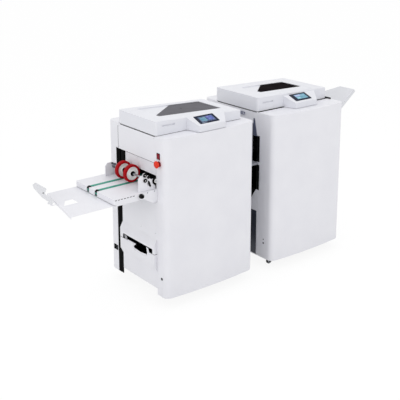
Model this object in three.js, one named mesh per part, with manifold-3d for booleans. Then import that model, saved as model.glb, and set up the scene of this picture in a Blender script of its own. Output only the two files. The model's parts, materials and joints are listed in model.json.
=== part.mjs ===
// A booklet-making line: two floor-standing office machines docked end to end.
// The folder takes sheets at the right, staples and folds them. The trimmer presses the
// spine square, cuts the fore edge and lays the booklets on its delivery deck at the left.
// X runs along the feed line, Y to the back and Z up. All lengths are in millimetres.
import * as THREE from 'three';
import { mergeVertices } from 'three/addons/utils/BufferGeometryUtils.js';
import Module from 'manifold-3d';

const wasm = await Module();
wasm.setup();

// Clearances and how fine curves are
const fit = 0.3;
const overrun = 6;
const fineSides = 32;
const plainSides = 16;
const cornerSteps = 5;
const loopSteps = 14;
const bowSteps = 10;
const degree = Math.PI / 180;

// Stock: sheet and plate thicknesses
const coverWall = 2.5;
const lidWall = 3;
const panelSheet = 2;
const deckSheet = 2.5;
const traySheet = 2;
const framePlate = 6;
const panSheet = 4;

// Both machines
const coverTop = 1000;
const coverFoot = 59;
const coverStand = 36;
const coverBow = 12;
const coverCorner = 38;
const panFlange = 26;

// The trimmer, seen from the delivery end
const trimmer = {
  left: 0, width: 654, side: 52, backSide: 432, back: 543, plateFront: 60, plateBack: 412,
  endStrip: 32, lidFront: 51, lidBack: 425, lidRise: 82, lidFall: 28, crest: 75,
  consoleRight: 166, slotDrop: 10, slotRise: 70, panLeft: 90,
  window: { left: 99, right: 67, front: 106, back: 44, slant: 232 },
};

// The folder, further back and slightly deeper
const machineGap = 156;
const folder = {
  left: trimmer.width + machineGap, width: 624, side: 101, backSide: 514, back: 633,
  plateFront: 108, plateBack: 500,
  endStrip: 13, lidFront: 113, lidBack: 513, lidRise: 89, lidFall: 17, crest: 84,
  consoleRight: 130, panLeft: coverWall + fit,
  window: { left: 136, right: 109, front: 121, back: 93, slant: 170 },
};

// Lids, their hinges, windows and touch consoles
const lidGap = 2;
const lidCorner = 14;
const hingeRadius = 4.5;
const hingePin = 2;
const hingeLength = 44;
const hingeInset = 70;
const hingeEar = 4;
const recess = { sink: 6, corner: 10 };
const pane = { thickness: 3, ledge: 7, cornerLeft: 9, slantLeft: 6, slantStart: 38 };
const wedge = {
  width: 275, flareLeft: 22, flareRight: 66, reach: 91, slope: 21 * degree, lip: 37, ridge: 8, behind: 26,
};
const screen = { width: 140, height: 76, thickness: 9, proud: 1.5, corner: 5, left: 42, margin: 18 };
const grip = { left: 42, width: 88, low: 48, height: 9, sink: 7 };

// Inner side plates, which carry every shaft
const plateInset = 12;
const plateTop = 984;

// Delivery deck, green belts and hold-down wheels
const deck = {
  top: 700, reach: 283, front: 40, back: 450, skirt: 38, inside: 38, corner: 12, flange: 16,
  tailSkirt: 30,
};
const gusset = { reach: 92, foot: 34, drop: 34 };
const sideGap = 0.3;
const notchSpare = 2;
const webHalf = 13;
const belt = { width: 22, thickness: 1.6, frontLine: 229, backLine: 314, tailX: -266, driveX: 66 };
const beltPulley = 13.5;
const shaftRadius = 6;
const holdDown = {
  radius: 52, tyre: 13, width: 24, x: -46, hub: 20, boss: 14, dish: 4, rim: 5, shoulder: 4, axle: 6,
};
const ear = {
  front: 112, back: 105, frontRise: 90, backRise: 77, foot: 0.5, chamfer: 16, notchDrop: 40,
  shoulder: 60, neck: 34, neckEnd: 30, neckHigh: 64, neckLow: 57,
};
const earWindow = [[-54, 45], [-32, 40], [-54, 22]];
const earBosses = [{ x: -72, rise: 90, radius: 11, hole: 5 }, { x: -48, rise: 75, radius: 8, hole: 3 }];
const bossReach = 6;
const plateFoot = { inset: 12, low: 102 };
const timing = {
  discX: 2, discRise: 45, discRadius: 21, smallRadius: 10, width: 6, thickness: 2.4, clear: 1, stub: 5,
};
const idler = { x: -70, rise: 60, radius: 11, stub: 4 };

// Extension tray and end stop
const tray = { front: 46, back: 444, inner: 165, tailFront: 542, tailBack: 470, lip: 14 };
const trayHole = { right: 402, front: 211, back: 278, leftFront: 491, leftBack: 449 };
const stop = {
  front: 247, low: 10, footHigh: 36, neck: 332, neckHigh: 46, wing: 310, high: 81, shoulder: 437,
  back: 472, backHigh: 59, tip: 457, tipLow: 42, knee: 365, kneeLow: 16, thickness: 2.5,
};
const stopHinge = { radius: 3.5, pin: 1.6, length: 30, from: 262, ear: 5, x: 540, reach: 60 };

const knob = { x: 113, drop: 14, radius: 13, length: 16, round: 3, stem: 4, stemReach: 6 };

// Left end of the trimmer
const endPanel = { rise: 146, joggle: 9, guardRise: 70, guardBack: 374, clear: 1 };
const midPanel = {
  drop: 80, back: 404, step: 20, stepHigh: 401, stepLow: 365, low: 309, slotFront: 72, slotBack: 375,
  slotHigh: 336, tabReach: 28, tabHeight: 24, tabLow: 430, tabPitch: 130,
};
const bin = { low: 96, stepLow: 198, stepHigh: 237, top: 306, depth: 300, boxTop: 262, clear: 4 };
const binDip = { front: 122, back: 268, footFront: 132, footBack: 255, low: 270 };
const runner = { height: 40, width: 12, inset: 10 };

// Switches on the front cover's left side
const emergency = { y: 22, z: 850, radius: 21, head: 15, dome: 5, stem: 9, stand: 11, depth: 16 };
const rocker = { y: 29, z: 892, width: 25, height: 31, slack: 1, depth: 8, proud: 3.5, tilt: 8 * degree };
const inlet = { y: 484, z: 206, width: 40, height: 30, proud: 3, depth: 20, rim: 4, socket: 14 };

// Trimming knife, its bed and the spine press rollers
const knife = { x: 150, thickness: 10, height: 90, rise: 18, shear: 8 };
const knifeBed = { depth: 60, width: 40 };
const press = { x: 330, radius: 22, nip: 0.6, journal: 8, faceInset: 14 };

// Folding rollers, folding knife and stapler in the folder
const foldRoller = { x: 190, radius: 20, nip: 0.6, journal: 8, faceInset: 14 };
const foldBlade = { x: 252, thickness: 4, length: 120, taper: 30 };
const stapler = {
  x: 420, beamWidth: 40, beamHeight: 30, rise: 160, headWidth: 60, headDepth: 56, headHeight: 90,
  pitch: 148,
};

// Transfer bridge between the machines
const bridge = { front: 98, back: 420, drop: 20, height: 13, wall: 2.5 };
const exit = { front: 113, back: 498, drop: 198, header: 155, margin: 60 };
const dockLatch = { y: 236, z: 971, width: 50, height: 18, depth: 8, pin: 4, turn: 6 };

// Infeed tray at the right end of the folder
const infeed = {
  front: 60, tipWidth: 125, baseWidth: 330, length: 248, slope: 37.3 * degree, sheet: 2.5,
  straight: 90, rim: 20, slotLow: 858, slotHigh: 880, slotFront: 128, slotBack: 380,
  hingeWidth: 260, clear: 6,
};
const infeedHinge = { stand: 10, z: 888, radius: 5, pin: 2.5, ear: 6, pinReach: 14, earInset: 20 };
const lidCatch = { front: 76, pivot: 126, half: 5, round: 4, height: 8, pin: 2.2 };

// Feet and castors
const foot = { inset: 190, depth: 170, stem: 7, pad: 19, padHeight: 8 };
const castor = {
  inset: 54, wheelRadius: 20, wheelWidth: 17, trail: 12, plate: 46, plateThickness: 3, head: 13,
  headHeight: 6, leg: 2.5, crown: 5, axle: 3.5, side: 1, tread: 3, axleBoss: 7,
};

// Materials, one for each finish
function finish(color, roughness, metalness = 0) {
  return new THREE.MeshStandardMaterial({ color, roughness, metalness });
}
const finishes = {
  whitePaint: finish(0xe9e9ee, 0.45),
  greyPaint: finish(0xc9cad2, 0.5),
  frameSteel: finish(0x8d9096, 0.5, 0.6),
  steel: finish(0xb9bcc2, 0.3, 1),
  blackPlastic: finish(0x141416, 0.5),
  glass: finish(0x303036, 0.1),
  screen: finish(0x0c1c4a, 0.15),
  redRubber: finish(0xb3121c, 0.5),
  whitePlastic: finish(0xeeeeea, 0.4),
  greenBelt: finish(0x2f9c84, 0.6),
  redPlastic: finish(0xe23a22, 0.35),
};

// From a closed three.js geometry to a solid, and back
const weld = 1e-4;
function toSolid(geometry) {
  const bare = geometry.index ? geometry.toNonIndexed() : geometry.clone();
  bare.deleteAttribute('normal');
  bare.deleteAttribute('uv');
  const merged = mergeVertices(bare, weld);
  const mesh = new wasm.Mesh({
    numProp: 3,
    vertProperties: Float32Array.from(merged.attributes.position.array),
    triVerts: Uint32Array.from(merged.index.array),
  });
  return new wasm.Manifold(mesh);
}

function toGeometry(solid) {
  const mesh = solid.getMesh();
  const geometry = new THREE.BufferGeometry();
  geometry.setAttribute('position', new THREE.BufferAttribute(mesh.vertProperties, 3));
  geometry.setIndex(new THREE.BufferAttribute(mesh.triVerts, 1));
  geometry.computeVertexNormals();
  return geometry;
}

const machine = new THREE.Group();
function add(name, solid, material) {
  const mesh = new THREE.Mesh(toGeometry(solid), finishes[material]);
  mesh.name = name;
  machine.add(mesh);
}

// Basic forms: each returns a solid
const axisX = new THREE.Vector3(1, 0, 0);
const axisY = new THREE.Vector3(0, 1, 0);
const axisZ = new THREE.Vector3(0, 0, 1);

function block(x0, x1, y0, y1, z0, z1) {
  const geometry = new THREE.BoxGeometry(x1 - x0, y1 - y0, z1 - z0);
  geometry.translate((x0 + x1) / 2, (y0 + y1) / 2, (z0 + z1) / 2);
  return toSolid(geometry);
}

function rod(axis, radius, from, to, a, b, sides = plainSides) {
  const geometry = new THREE.CylinderGeometry(radius, radius, to - from, sides);
  const middle = (from + to) / 2;
  if (axis === 'x') geometry.rotateZ(-Math.PI / 2).translate(middle, a, b);
  if (axis === 'y') geometry.translate(a, middle, b);
  if (axis === 'z') geometry.rotateX(Math.PI / 2).translate(a, b, middle);
  return toSolid(geometry);
}

function prism(points, u, v, n, origin, depth) {
  const shape = new THREE.Shape(points.map(([a, b]) => new THREE.Vector2(a, b)));
  const geometry = new THREE.ExtrudeGeometry(shape, { depth, bevelEnabled: false });
  const place = new THREE.Matrix4().makeBasis(u, v, n).setPosition(origin);
  geometry.applyMatrix4(place);
  return toSolid(geometry);
}

// Outlines in (y, z) drawn out along X, in (x, z) along Y and in (x, y) along Z
function alongX(points, x0, x1) {
  return prism(points, axisY, axisZ, axisX, new THREE.Vector3(x0, 0, 0), x1 - x0);
}
function alongY(points, y0, y1) {
  return prism(points, axisX, axisZ, axisY.clone().negate(), new THREE.Vector3(0, y1, 0), y1 - y0);
}
function alongZ(points, z0, z1) {
  return prism(points, axisX, axisY, axisZ, new THREE.Vector3(0, 0, z0), z1 - z0);
}

function arc(cx, cy, radius, from, to, steps = cornerSteps) {
  const points = [];
  for (let i = 0; i <= steps; i += 1) {
    const angle = from + (to - from) * i / steps;
    points.push([cx + radius * Math.cos(angle), cy + radius * Math.sin(angle)]);
  }
  return points;
}

function roundedRect(x0, x1, y0, y1, radius) {
  const quarter = Math.PI / 2;
  return [
    ...arc(x0 + radius, y0 + radius, radius, 2 * quarter, 3 * quarter),
    ...arc(x1 - radius, y0 + radius, radius, 3 * quarter, 4 * quarter),
    ...arc(x1 - radius, y1 - radius, radius, 0, quarter),
    ...arc(x0 + radius, y1 - radius, radius, quarter, 2 * quarter),
  ];
}

function join(...solids) {
  return solids.reduce((whole, next) => whole.add(next));
}

// Front and back covers: bowed shells with round upright corners and a closed top
function coverOutline(m, inset, bow) {
  const right = m.left + m.width;
  const radius = coverCorner - inset;
  const line = -coverStand;
  const centreY = line + coverCorner;
  const half = m.width / 2 - coverCorner;
  const front = [];
  for (let i = 1; i < bowSteps; i += 1) {
    const share = 2 * i / bowSteps - 1;
    front.push([m.left + m.width / 2 + half * share, line + inset - bow * (1 - share * share)]);
  }
  return [
    ...arc(m.left + coverCorner, centreY, radius, Math.PI, 1.5 * Math.PI),
    ...front,
    ...arc(right - coverCorner, centreY, radius, 1.5 * Math.PI, 2 * Math.PI),
  ];
}

function coverShell(m, inset, bow, y1) {
  const edge = m.left + inset;
  const far = m.left + m.width - inset;
  return [...coverOutline(m, inset, bow), [far, y1], [edge, y1]];
}

function frontCover(m) {
  const outer = alongZ(coverShell(m, 0, coverBow, m.side), coverFoot, coverTop);
  const inside = coverShell(m, coverWall, coverBow, m.side + overrun);
  return outer.subtract(alongZ(inside, coverFoot - overrun, coverTop - coverWall));
}

function mirrorToBack(points, m) {
  return points.map(([x, y]) => [x, m.back - coverStand - y]).reverse();
}

function backCover(m) {
  const start = m.back - coverStand - m.backSide;
  const outer = alongZ(mirrorToBack(coverShell(m, 0, 0, start), m), coverFoot, coverTop);
  const inside = mirrorToBack(coverShell(m, coverWall, 0, start + overrun), m);
  const shell = outer.subtract(alongZ(inside, coverFoot - overrun, coverTop - coverWall));
  const ears = hingePlaces(m).map((x) => hingeEarAt(m, x));
  return join(shell, ...ears);
}

// Lift-off hinges: an ear with a pin on the back cover, a barrel on the lid
function hingeAxis(m) {
  return { y: m.lidBack + hingeRadius + fit, z: coverTop + hingeRadius + fit };
}
function lidRight(m) {
  return m.left + m.width - m.endStrip;
}
function hingePlaces(m) {
  return [m.left + hingeInset, lidRight(m) - hingeInset - hingeLength];
}
function hingeEarAt(m, x) {
  const axis = hingeAxis(m);
  const x0 = x - fit - hingeEar;
  const foot = Math.min(m.backSide, axis.y);
  const end = Math.max(m.backSide + hingeEar, axis.y + hingeRadius);
  const leaf = block(x0, x - fit, foot, end, coverTop - coverWall, axis.z);
  const head = rod('x', hingeRadius, x0, x - fit, axis.y, axis.z);
  return join(leaf, head, rod('x', hingePin, x0, x + hingeLength / 2, axis.y, axis.z));
}
function hingeBarrel(m, x) {
  const axis = hingeAxis(m);
  const barrel = rod('x', hingeRadius, x, x + hingeLength, axis.y, axis.z);
  const leafTop = axis.z + hingeRadius;
  const leaf = block(x, x + hingeLength, m.lidBack - lidWall, axis.y, axis.z, leafTop);
  const bore = rod('x', hingePin + fit, x - overrun, x + hingeLength / 2 + overrun, axis.y, axis.z);
  return join(barrel, leaf).subtract(bore);
}

// Touch console: a wedge that runs from its ridge on the lid down to a front lip
function wedgeLeft(m) {
  return m.left + m.width - m.consoleRight - wedge.width;
}
function wedgeSolid(m, inset) {
  const low = coverTop + lidGap;
  const top = coverTop + m.crest;
  const front = m.lidFront - wedge.reach;
  const lipTop = coverTop + wedge.lip;
  const run = (top - lipTop) / Math.tan(wedge.slope);
  const ridge = front + run + wedge.ridge;
  const back = ridge + wedge.behind;
  const lipShift = inset * (1 / Math.cos(wedge.slope) - Math.tan(wedge.slope));
  const left = wedgeLeft(m);
  const right = left + wedge.width;
  const profile = alongX([
    [front + inset, low - inset],
    [back - inset * Math.SQRT2, low - inset],
    [back - inset * Math.SQRT2, top - wedge.behind],
    [ridge - inset * (Math.SQRT2 - 1), top - inset],
    [front + run + inset * Math.tan(wedge.slope / 2), top - inset],
    [front + inset, lipTop - lipShift],
  ], left - overrun, right + overrun);
  const plan = alongZ([
    [left + inset, back + overrun], [left + inset, m.lidFront], [left + wedge.flareLeft + inset, front],
    [right - wedge.flareRight - inset, front], [right - inset, m.lidFront], [right - inset, back + overrun],
  ], low - overrun, top + overrun);
  return profile.intersect(plan);
}

function screenPlace(m) {
  const front = m.lidFront - wedge.reach;
  const u = axisX;
  const v = new THREE.Vector3(0, Math.cos(wedge.slope), Math.sin(wedge.slope));
  const n = new THREE.Vector3(0, -Math.sin(wedge.slope), Math.cos(wedge.slope));
  const start = new THREE.Vector3(wedgeLeft(m) + screen.left, front, coverTop + wedge.lip);
  start.addScaledVector(v, screen.margin);
  return { u, v, n, start };
}

function screenSolid(m, grow) {
  const { u, v, n, start } = screenPlace(m);
  const radius = screen.corner + grow;
  const outline = roundedRect(-grow, screen.width + grow, -grow, screen.height + grow, radius);
  const low = start.clone().addScaledVector(n, screen.proud - screen.thickness - grow);
  return prism(outline, u, v, n, low, screen.thickness + 2 * grow);
}

// The lid's top falls evenly from its left end to its right end
function lean(m, solid) {
  const fall = m.lidFall / (lidRight(m) - m.left);
  return solid.transform([1, 0, -fall, 0, 0, 1, 0, 0, 0, 0, 1, 0, 0, 0, fall * m.left, 1]);
}

// The window's recess: its four sides, from the margins that the lid keeps
function windowSides(m) {
  return {
    x0: m.left + m.window.left, x1: lidRight(m) - m.window.right,
    y0: m.lidFront + m.window.front, y1: m.lidBack - m.window.back,
  };
}

function paneOutline(m, inset) {
  const { x0, x1, y0, y1 } = windowSides(m);
  const radius = recess.corner;
  const edge = inset + fit;
  const quarter = Math.PI / 2;
  return [
    [x0 + pane.cornerLeft + inset, y0 + edge],
    ...arc(x1 - edge - radius, y0 + edge + radius, radius, -quarter, 0),
    ...arc(x1 - edge - radius, y1 - edge - radius, radius, 0, quarter),
    [x0 + m.window.slant + inset, y1 - edge],
    [x0 + pane.slantLeft + inset, y0 + pane.slantStart + inset],
  ];
}

function lid(m) {
  const x0 = m.left;
  const x1 = lidRight(m);
  const low = coverTop + lidGap;
  const top = coverTop + m.lidRise;
  const under = (height) => lean(m, block(
    x0 - overrun, x1 + overrun, m.lidFront - overrun, m.lidBack + overrun, low - overrun, height,
  ));
  const plan = roundedRect(x0, x1, m.lidFront, m.lidBack, lidCorner);
  const shell = alongZ(plan, low, top).intersect(under(top));
  const hollow = alongZ(roundedRect(
    x0 + lidWall, x1 - lidWall, m.lidFront + lidWall, m.lidBack - lidWall, lidCorner - lidWall,
  ), low - overrun / 2, top);
  const open = windowSides(m);
  const well = roundedRect(open.x0, open.x1, open.y0, open.y1, recess.corner);
  const around = block(
    open.x0 - lidWall, open.x1 + lidWall, open.y0 - lidWall, open.y1 + lidWall,
    top - recess.sink - lidWall, top,
  );
  const cavity = hollow.intersect(under(top - lidWall)).subtract(lean(m, around));
  const gripX0 = x0 + grip.left;
  const gripX1 = gripX0 + grip.width;
  const gripLow = coverTop + grip.low;
  const gripHigh = gripLow + grip.height;
  const gripCut = block(gripX0, gripX1, m.lidFront - overrun, m.lidFront + grip.sink, gripLow, gripHigh);
  const gripBack = block(
    gripX0 - lidWall, gripX1 + lidWall, m.lidFront, m.lidFront + grip.sink + lidWall,
    gripLow - lidWall, gripHigh + lidWall,
  );
  const through = alongZ(paneOutline(m, pane.ledge), top - recess.sink - lidWall - overrun, top);
  return join(shell, wedgeSolid(m, 0))
    .subtract(cavity)
    .subtract(wedgeSolid(m, lidWall))
    .add(gripBack)
    .add(screenSolid(m, lidWall).intersect(wedgeSolid(m, 0)))
    .subtract(gripCut)
    .subtract(screenSolid(m, fit))
    .subtract(lean(m, alongZ(well, top - recess.sink, top + overrun)))
    .subtract(lean(m, through))
    .add(join(...hingePlaces(m).map((x) => hingeBarrel(m, x))));
}

function paneSolid(m) {
  const floor = coverTop + m.lidRise - recess.sink + fit;
  return lean(m, alongZ(paneOutline(m, fit), floor, floor + pane.thickness));
}

// Base pan with up-turned flanges inside the covers
function pan(m) {
  const x0 = m.left + m.panLeft;
  const x1 = m.left + m.width - coverWall - fit;
  const y0 = coverCorner - coverStand + fit;
  const y1 = m.back - coverCorner - fit;
  const low = coverFoot + fit;
  const outer = block(x0, x1, y0, y1, low, low + panFlange);
  const inner = block(
    x0 + panSheet, x1 - panSheet, y0 + panSheet, y1 - panSheet, low + panSheet, low + panFlange + overrun,
  );
  return outer.subtract(inner);
}
const panFloor = coverFoot + fit + panSheet;

// Inner side plates
function insideSpan(m) {
  return [m.plateFront + framePlate + fit, m.plateBack - fit];
}
function plainPlate(m, y) {
  const low = panFloor + fit;
  return block(m.left + plateInset, m.left + m.width - plateInset, y, y + framePlate, low, plateTop);
}
function bore(y, x, z, radius) {
  return rod('y', radius + fit, y - overrun, y + framePlate + overrun, x, z);
}

// Levels on the trimmer's paper path
const knobZ = deck.top - knob.drop;
const beltTop = deck.top + fit + belt.thickness;
const beltAxisZ = deck.top + fit - beltPulley;
const holdDownZ = beltTop + fit + holdDown.radius;
const trayTop = deck.top - deck.skirt + deckSheet + fit + traySheet;

function trimmerPlate(y, earReach, earRise) {
  const m = trimmer;
  const earTop = deck.top + earRise;
  const x0 = m.left + plateInset;
  const x1 = m.left + m.width - plateInset;
  const notch = m.left + deck.inside + fit + fit;
  const earLow = deck.top + ear.foot;
  const underDeck = deck.top - deck.skirt - ear.notchDrop;
  const low = panFloor + fit;
  const footLeft = m.left + m.panLeft + panSheet + plateFoot.inset;
  return alongY([
    [footLeft, low], [footLeft, plateFoot.low], [x0, plateFoot.low], [x0, underDeck], [notch, underDeck],
    [notch, earLow], [m.left - earReach, earLow], [m.left - earReach, earTop - ear.chamfer],
    [m.left - earReach + ear.chamfer, earTop], [m.left - ear.shoulder, earTop],
    [m.left - ear.neck, deck.top + ear.neckHigh], [m.left - ear.neckEnd, deck.top + ear.neckLow],
    [x0, deck.top + ear.neckLow], [x0, plateTop], [x1, plateTop], [x1, low],
  ], y, y + framePlate);
}

// Bearing bosses that stand on the front plate's ear
function earBossSolid({ x, rise, radius, hole }) {
  const y0 = trimmer.plateFront - bossReach;
  const y1 = trimmer.plateFront + framePlate;
  const bored = rod('y', hole, y0 - overrun, y1 + overrun, x, deck.top + rise);
  return { ring: rod('y', radius, y0, y1, x, deck.top + rise), bored };
}
function earOpening(y) {
  const points = earWindow.map(([x, rise]) => [x, deck.top + rise]);
  return alongY(points, y - overrun, y + framePlate + overrun);
}

function beltLines() {
  return [belt.frontLine, belt.backLine];
}

// Delivery deck: a folded sheet with flanges that carry the extension tray
function deckSolid() {
  const tail = -deck.reach;
  const low = deck.top - deck.skirt;
  const sheetLow = deck.top - deckSheet;
  const innerFront = trimmer.plateFront - sideGap;
  const innerBack = trimmer.backSide - sideGap;
  const quarter = Math.PI / 2;
  const corner = deck.corner;
  const plan = alongZ([
    ...arc(tail + corner, deck.front + corner, corner, 2 * quarter, 3 * quarter),
    [-sideGap, deck.front], [-sideGap, innerFront], [deck.inside, innerFront], [deck.inside, innerBack],
    [-sideGap, innerBack], [-sideGap, deck.back],
    ...arc(tail + corner, deck.back - corner, corner, quarter, 2 * quarter),
  ], sheetLow, deck.top);
  const side = (from, to, top) => block(tail + corner, -sideGap, from, to, low, top);
  const sides = join(
    side(deck.front, deck.front + deckSheet, deck.top),
    side(deck.front, deck.front + deck.flange, low + deckSheet),
    side(deck.back - deckSheet, deck.back, deck.top),
    side(deck.back - deck.flange, deck.back, low + deckSheet),
  );
  const tailLow = deck.top - deck.tailSkirt;
  const cornerFront = deck.front + corner;
  const cornerBack = deck.back - corner;
  const tailSkirt = block(tail, tail + deckSheet, cornerFront, cornerBack, tailLow, deck.top);
  const cornerSkirt = (y, from, to) => {
    const outer = arc(tail + corner, y, corner, from, to);
    const inner = arc(tail + corner, y, corner - deckSheet, to, from);
    return alongZ([...outer, ...inner], tailLow, deck.top);
  };
  const notches = join(...beltLines().map((y) => block(
    tail - overrun, belt.tailX + beltPulley + belt.thickness + notchSpare,
    y - belt.width / 2 - notchSpare, y + belt.width / 2 + notchSpare, low, deck.top + overrun,
  )));
  const webs = join(...webPlaces().map((y) => block(
    belt.tailX - webHalf, belt.tailX + webHalf, y, y + deckSheet, beltAxisZ - webHalf, deck.top,
  )));
  const shaftHole = rod('y', shaftRadius + fit, cornerFront, cornerBack, belt.tailX, beltAxisZ);
  const skirtBack = deck.front + deckSheet;
  const knobHole = rod('y', knob.stem + fit, deck.front - overrun, skirtBack + overrun, -knob.x, knobZ);
  const gussets = join(...[deck.front, deck.back - deckSheet].map((y) => alongY([
    [-sideGap, low + deckSheet], [-gusset.reach, low + deckSheet], [-gusset.reach, low],
    [-gusset.foot, low - gusset.drop], [-sideGap, low - gusset.drop],
  ], y, y + deckSheet)));
  const frontCorner = cornerSkirt(cornerFront, 2 * quarter, 3 * quarter);
  const backCorner = cornerSkirt(cornerBack, quarter, 2 * quarter);
  return join(plan, sides, tailSkirt, frontCorner, backCorner)
    .subtract(notches).add(webs).subtract(shaftHole).subtract(knobHole).add(gussets);
}
function webPlaces() {
  const side = belt.width / 2 + notchSpare;
  return [belt.frontLine - side - deckSheet, belt.backLine + side];
}

// A loop of even thickness round two wheels, drawn out along Y
function loopOutline(a, b) {
  const angle = Math.atan2(b.z - a.z, b.x - a.x);
  const span = Math.hypot(b.x - a.x, b.z - a.z);
  const lean = Math.acos((a.radius - b.radius) / span);
  return [
    ...arc(a.x, a.z, a.radius, angle + lean, angle - lean + 2 * Math.PI, loopSteps),
    ...arc(b.x, b.z, b.radius, angle - lean, angle + lean, loopSteps),
  ];
}
function beltLoop(a, b, inset, thickness, y0, y1) {
  const grown = (wheel, by) => ({ ...wheel, radius: wheel.radius + by });
  const outer = alongY(loopOutline(grown(a, inset + thickness), grown(b, inset + thickness)), y0, y1);
  const inner = alongY(loopOutline(grown(a, inset), grown(b, inset)), y0 - overrun, y1 + overrun);
  return outer.subtract(inner);
}
const tailWheel = { x: belt.tailX, z: beltAxisZ, radius: beltPulley };
const driveWheel = { x: belt.driveX, z: beltAxisZ, radius: beltPulley };
const discWheel = { x: timing.discX, z: deck.top + timing.discRise, radius: timing.discRadius };
const smallWheel = { x: belt.driveX, z: beltAxisZ, radius: timing.smallRadius };

function pulleys(x) {
  const half = belt.width / 2;
  return beltLines().map((y) => rod('y', beltPulley - fit, y - half, y + half, x, beltAxisZ));
}
const timingFront = trimmer.side + timing.clear;
const timingBack = timingFront + timing.width;

// Hold-down wheels: turned hubs on one axle, each with a rubber tyre
function hubSolid(y) {
  const half = holdDown.hub / 2;
  const rim = holdDown.radius - holdDown.tyre - fit;
  const floor = half - holdDown.dish;
  const ledge = rim - holdDown.rim;
  const { boss } = holdDown;
  const profile = [
    [0, -half], [boss, -half], [boss, -floor], [ledge, -floor], [ledge, -half], [rim, -half],
    [rim, half], [ledge, half], [ledge, floor], [boss, floor], [boss, half], [0, half],
  ];
  return lathe(profile, fineSides).translate([holdDown.x, y, holdDownZ]);
}
function lathe(profile, sides) {
  const points = profile.map(([r, y]) => new THREE.Vector2(r, y));
  return toSolid(new THREE.LatheGeometry(points, sides));
}
function tyreSolid(y) {
  const half = holdDown.width / 2;
  const inner = holdDown.radius - holdDown.tyre;
  const round = holdDown.shoulder;
  return lathe([
    [inner, -half], [holdDown.radius - round, -half], [holdDown.radius, -half + round],
    [holdDown.radius, half - round], [holdDown.radius - round, half], [inner, half], [inner, -half],
  ], fineSides).translate([holdDown.x, y, holdDownZ]);
}

// Extension tray: slides in the deck's flanges, with a turned-down lip along its free end
const trayLow = trayTop - traySheet;
function traySolid() {
  const sheet = alongZ([
    [-tray.tailFront, tray.front], [-tray.inner, tray.front], [-tray.inner, tray.back],
    [-tray.tailBack, tray.back],
  ], trayLow, trayTop);
  const lip = alongZ([
    [-tray.tailFront, tray.front], [-tray.tailFront + traySheet, tray.front],
    [-tray.tailBack + traySheet, tray.back], [-tray.tailBack, tray.back],
  ], trayTop - tray.lip, trayTop);
  const hole = alongZ([
    [-trayHole.leftFront, trayHole.front], [-trayHole.right, trayHole.front],
    [-trayHole.right, trayHole.back], [-trayHole.leftBack, trayHole.back],
  ], trayLow - overrun, trayTop + overrun);
  const earLeft = -stopHinge.x - stopHinge.radius;
  const earPlaces = [stopHinge.from - fit - stopHinge.ear, stopHinge.from + stopHinge.length + fit];
  const ears = earPlaces.map((y) => join(
    block(earLeft, -stopHinge.x + stopHinge.reach, y, y + stopHinge.ear, trayLow, trayTop),
    block(earLeft, -stopHinge.x + stopHinge.radius, y, y + stopHinge.ear, trayLow, stopZ),
    rod('y', stopHinge.radius, y, y + stopHinge.ear, -stopHinge.x, stopZ),
  ));
  const pinFrom = stopHinge.from - stopHinge.ear;
  const pinTo = stopHinge.from + stopHinge.length + stopHinge.ear;
  const pin = rod('y', stopHinge.pin, pinFrom, pinTo, -stopHinge.x, stopZ);
  return join(sheet, lip).subtract(hole).add(join(...ears, pin));
}
const stopZ = trayTop + fit + stopHinge.radius;

// End stop: a wing-shaped plate that folds flat on the tray
function stopSolid() {
  const x = -stopHinge.x;
  const plate = alongX([
    [stop.front, trayTop + stop.low], [stop.knee, trayTop + stop.kneeLow],
    [stop.tip, trayTop + stop.tipLow], [stop.back, trayTop + stop.backHigh],
    [stop.shoulder, trayTop + stop.high], [stop.wing, trayTop + stop.high],
    [stop.neck, trayTop + stop.neckHigh], [stop.front, trayTop + stop.footHigh],
  ], x - stop.thickness / 2, x + stop.thickness / 2);
  const from = stopHinge.from;
  const to = from + stopHinge.length;
  const half = stop.thickness / 2;
  const leaf = block(x - half, x + half, from, to, stopZ, trayTop + stop.kneeLow);
  const barrel = rod('y', stopHinge.radius, from, to, x, stopZ);
  const cut = rod('y', stopHinge.pin + fit, from - overrun, to + overrun, x, stopZ);
  const earRoom = [from - stopHinge.ear - 2 * fit, to].map((y) => block(
    x - stopHinge.radius - overrun, x + stopHinge.radius + overrun, y, y + stopHinge.ear + 2 * fit,
    trayTop, stopZ + stopHinge.radius + fit,
  ));
  return join(plate, leaf).subtract(join(...earRoom)).add(barrel).subtract(cut);
}

// Knob on the deck's front that clamps the tray
function knobSolid() {
  const y = deck.front - fit;
  const { radius, length, round } = knob;
  const head = lathe([
    [0, 0], [radius, 0], [radius, length - round], [radius - round, length], [0, length],
  ], plainSides).rotate([180, 0, 0]).translate([-knob.x, y, knobZ]);
  return join(head, rod('y', knob.stem, y - fit, deck.front + deckSheet + knob.stemReach, -knob.x, knobZ));
}

// Left end of the trimmer
function upperEndPanel() {
  const m = trimmer;
  const low = deck.top + endPanel.rise;
  const guardLow = deck.top + endPanel.guardRise;
  const x = m.left;
  const y0 = m.side + fit;
  const y1 = m.backSide - fit;
  const guardFront = m.plateFront + framePlate + endPanel.clear;
  const guardX = x + endPanel.joggle;
  const face = block(x, x + panelSheet, y0, y1, low, coverTop - fit);
  const guardBack = endPanel.guardBack;
  const shelf = block(x, guardX + panelSheet, guardFront, guardBack, low, low + panelSheet);
  const guard = block(guardX, guardX + panelSheet, guardFront, guardBack, guardLow, low + panelSheet);
  return join(face, shelf, guard);
}

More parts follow.
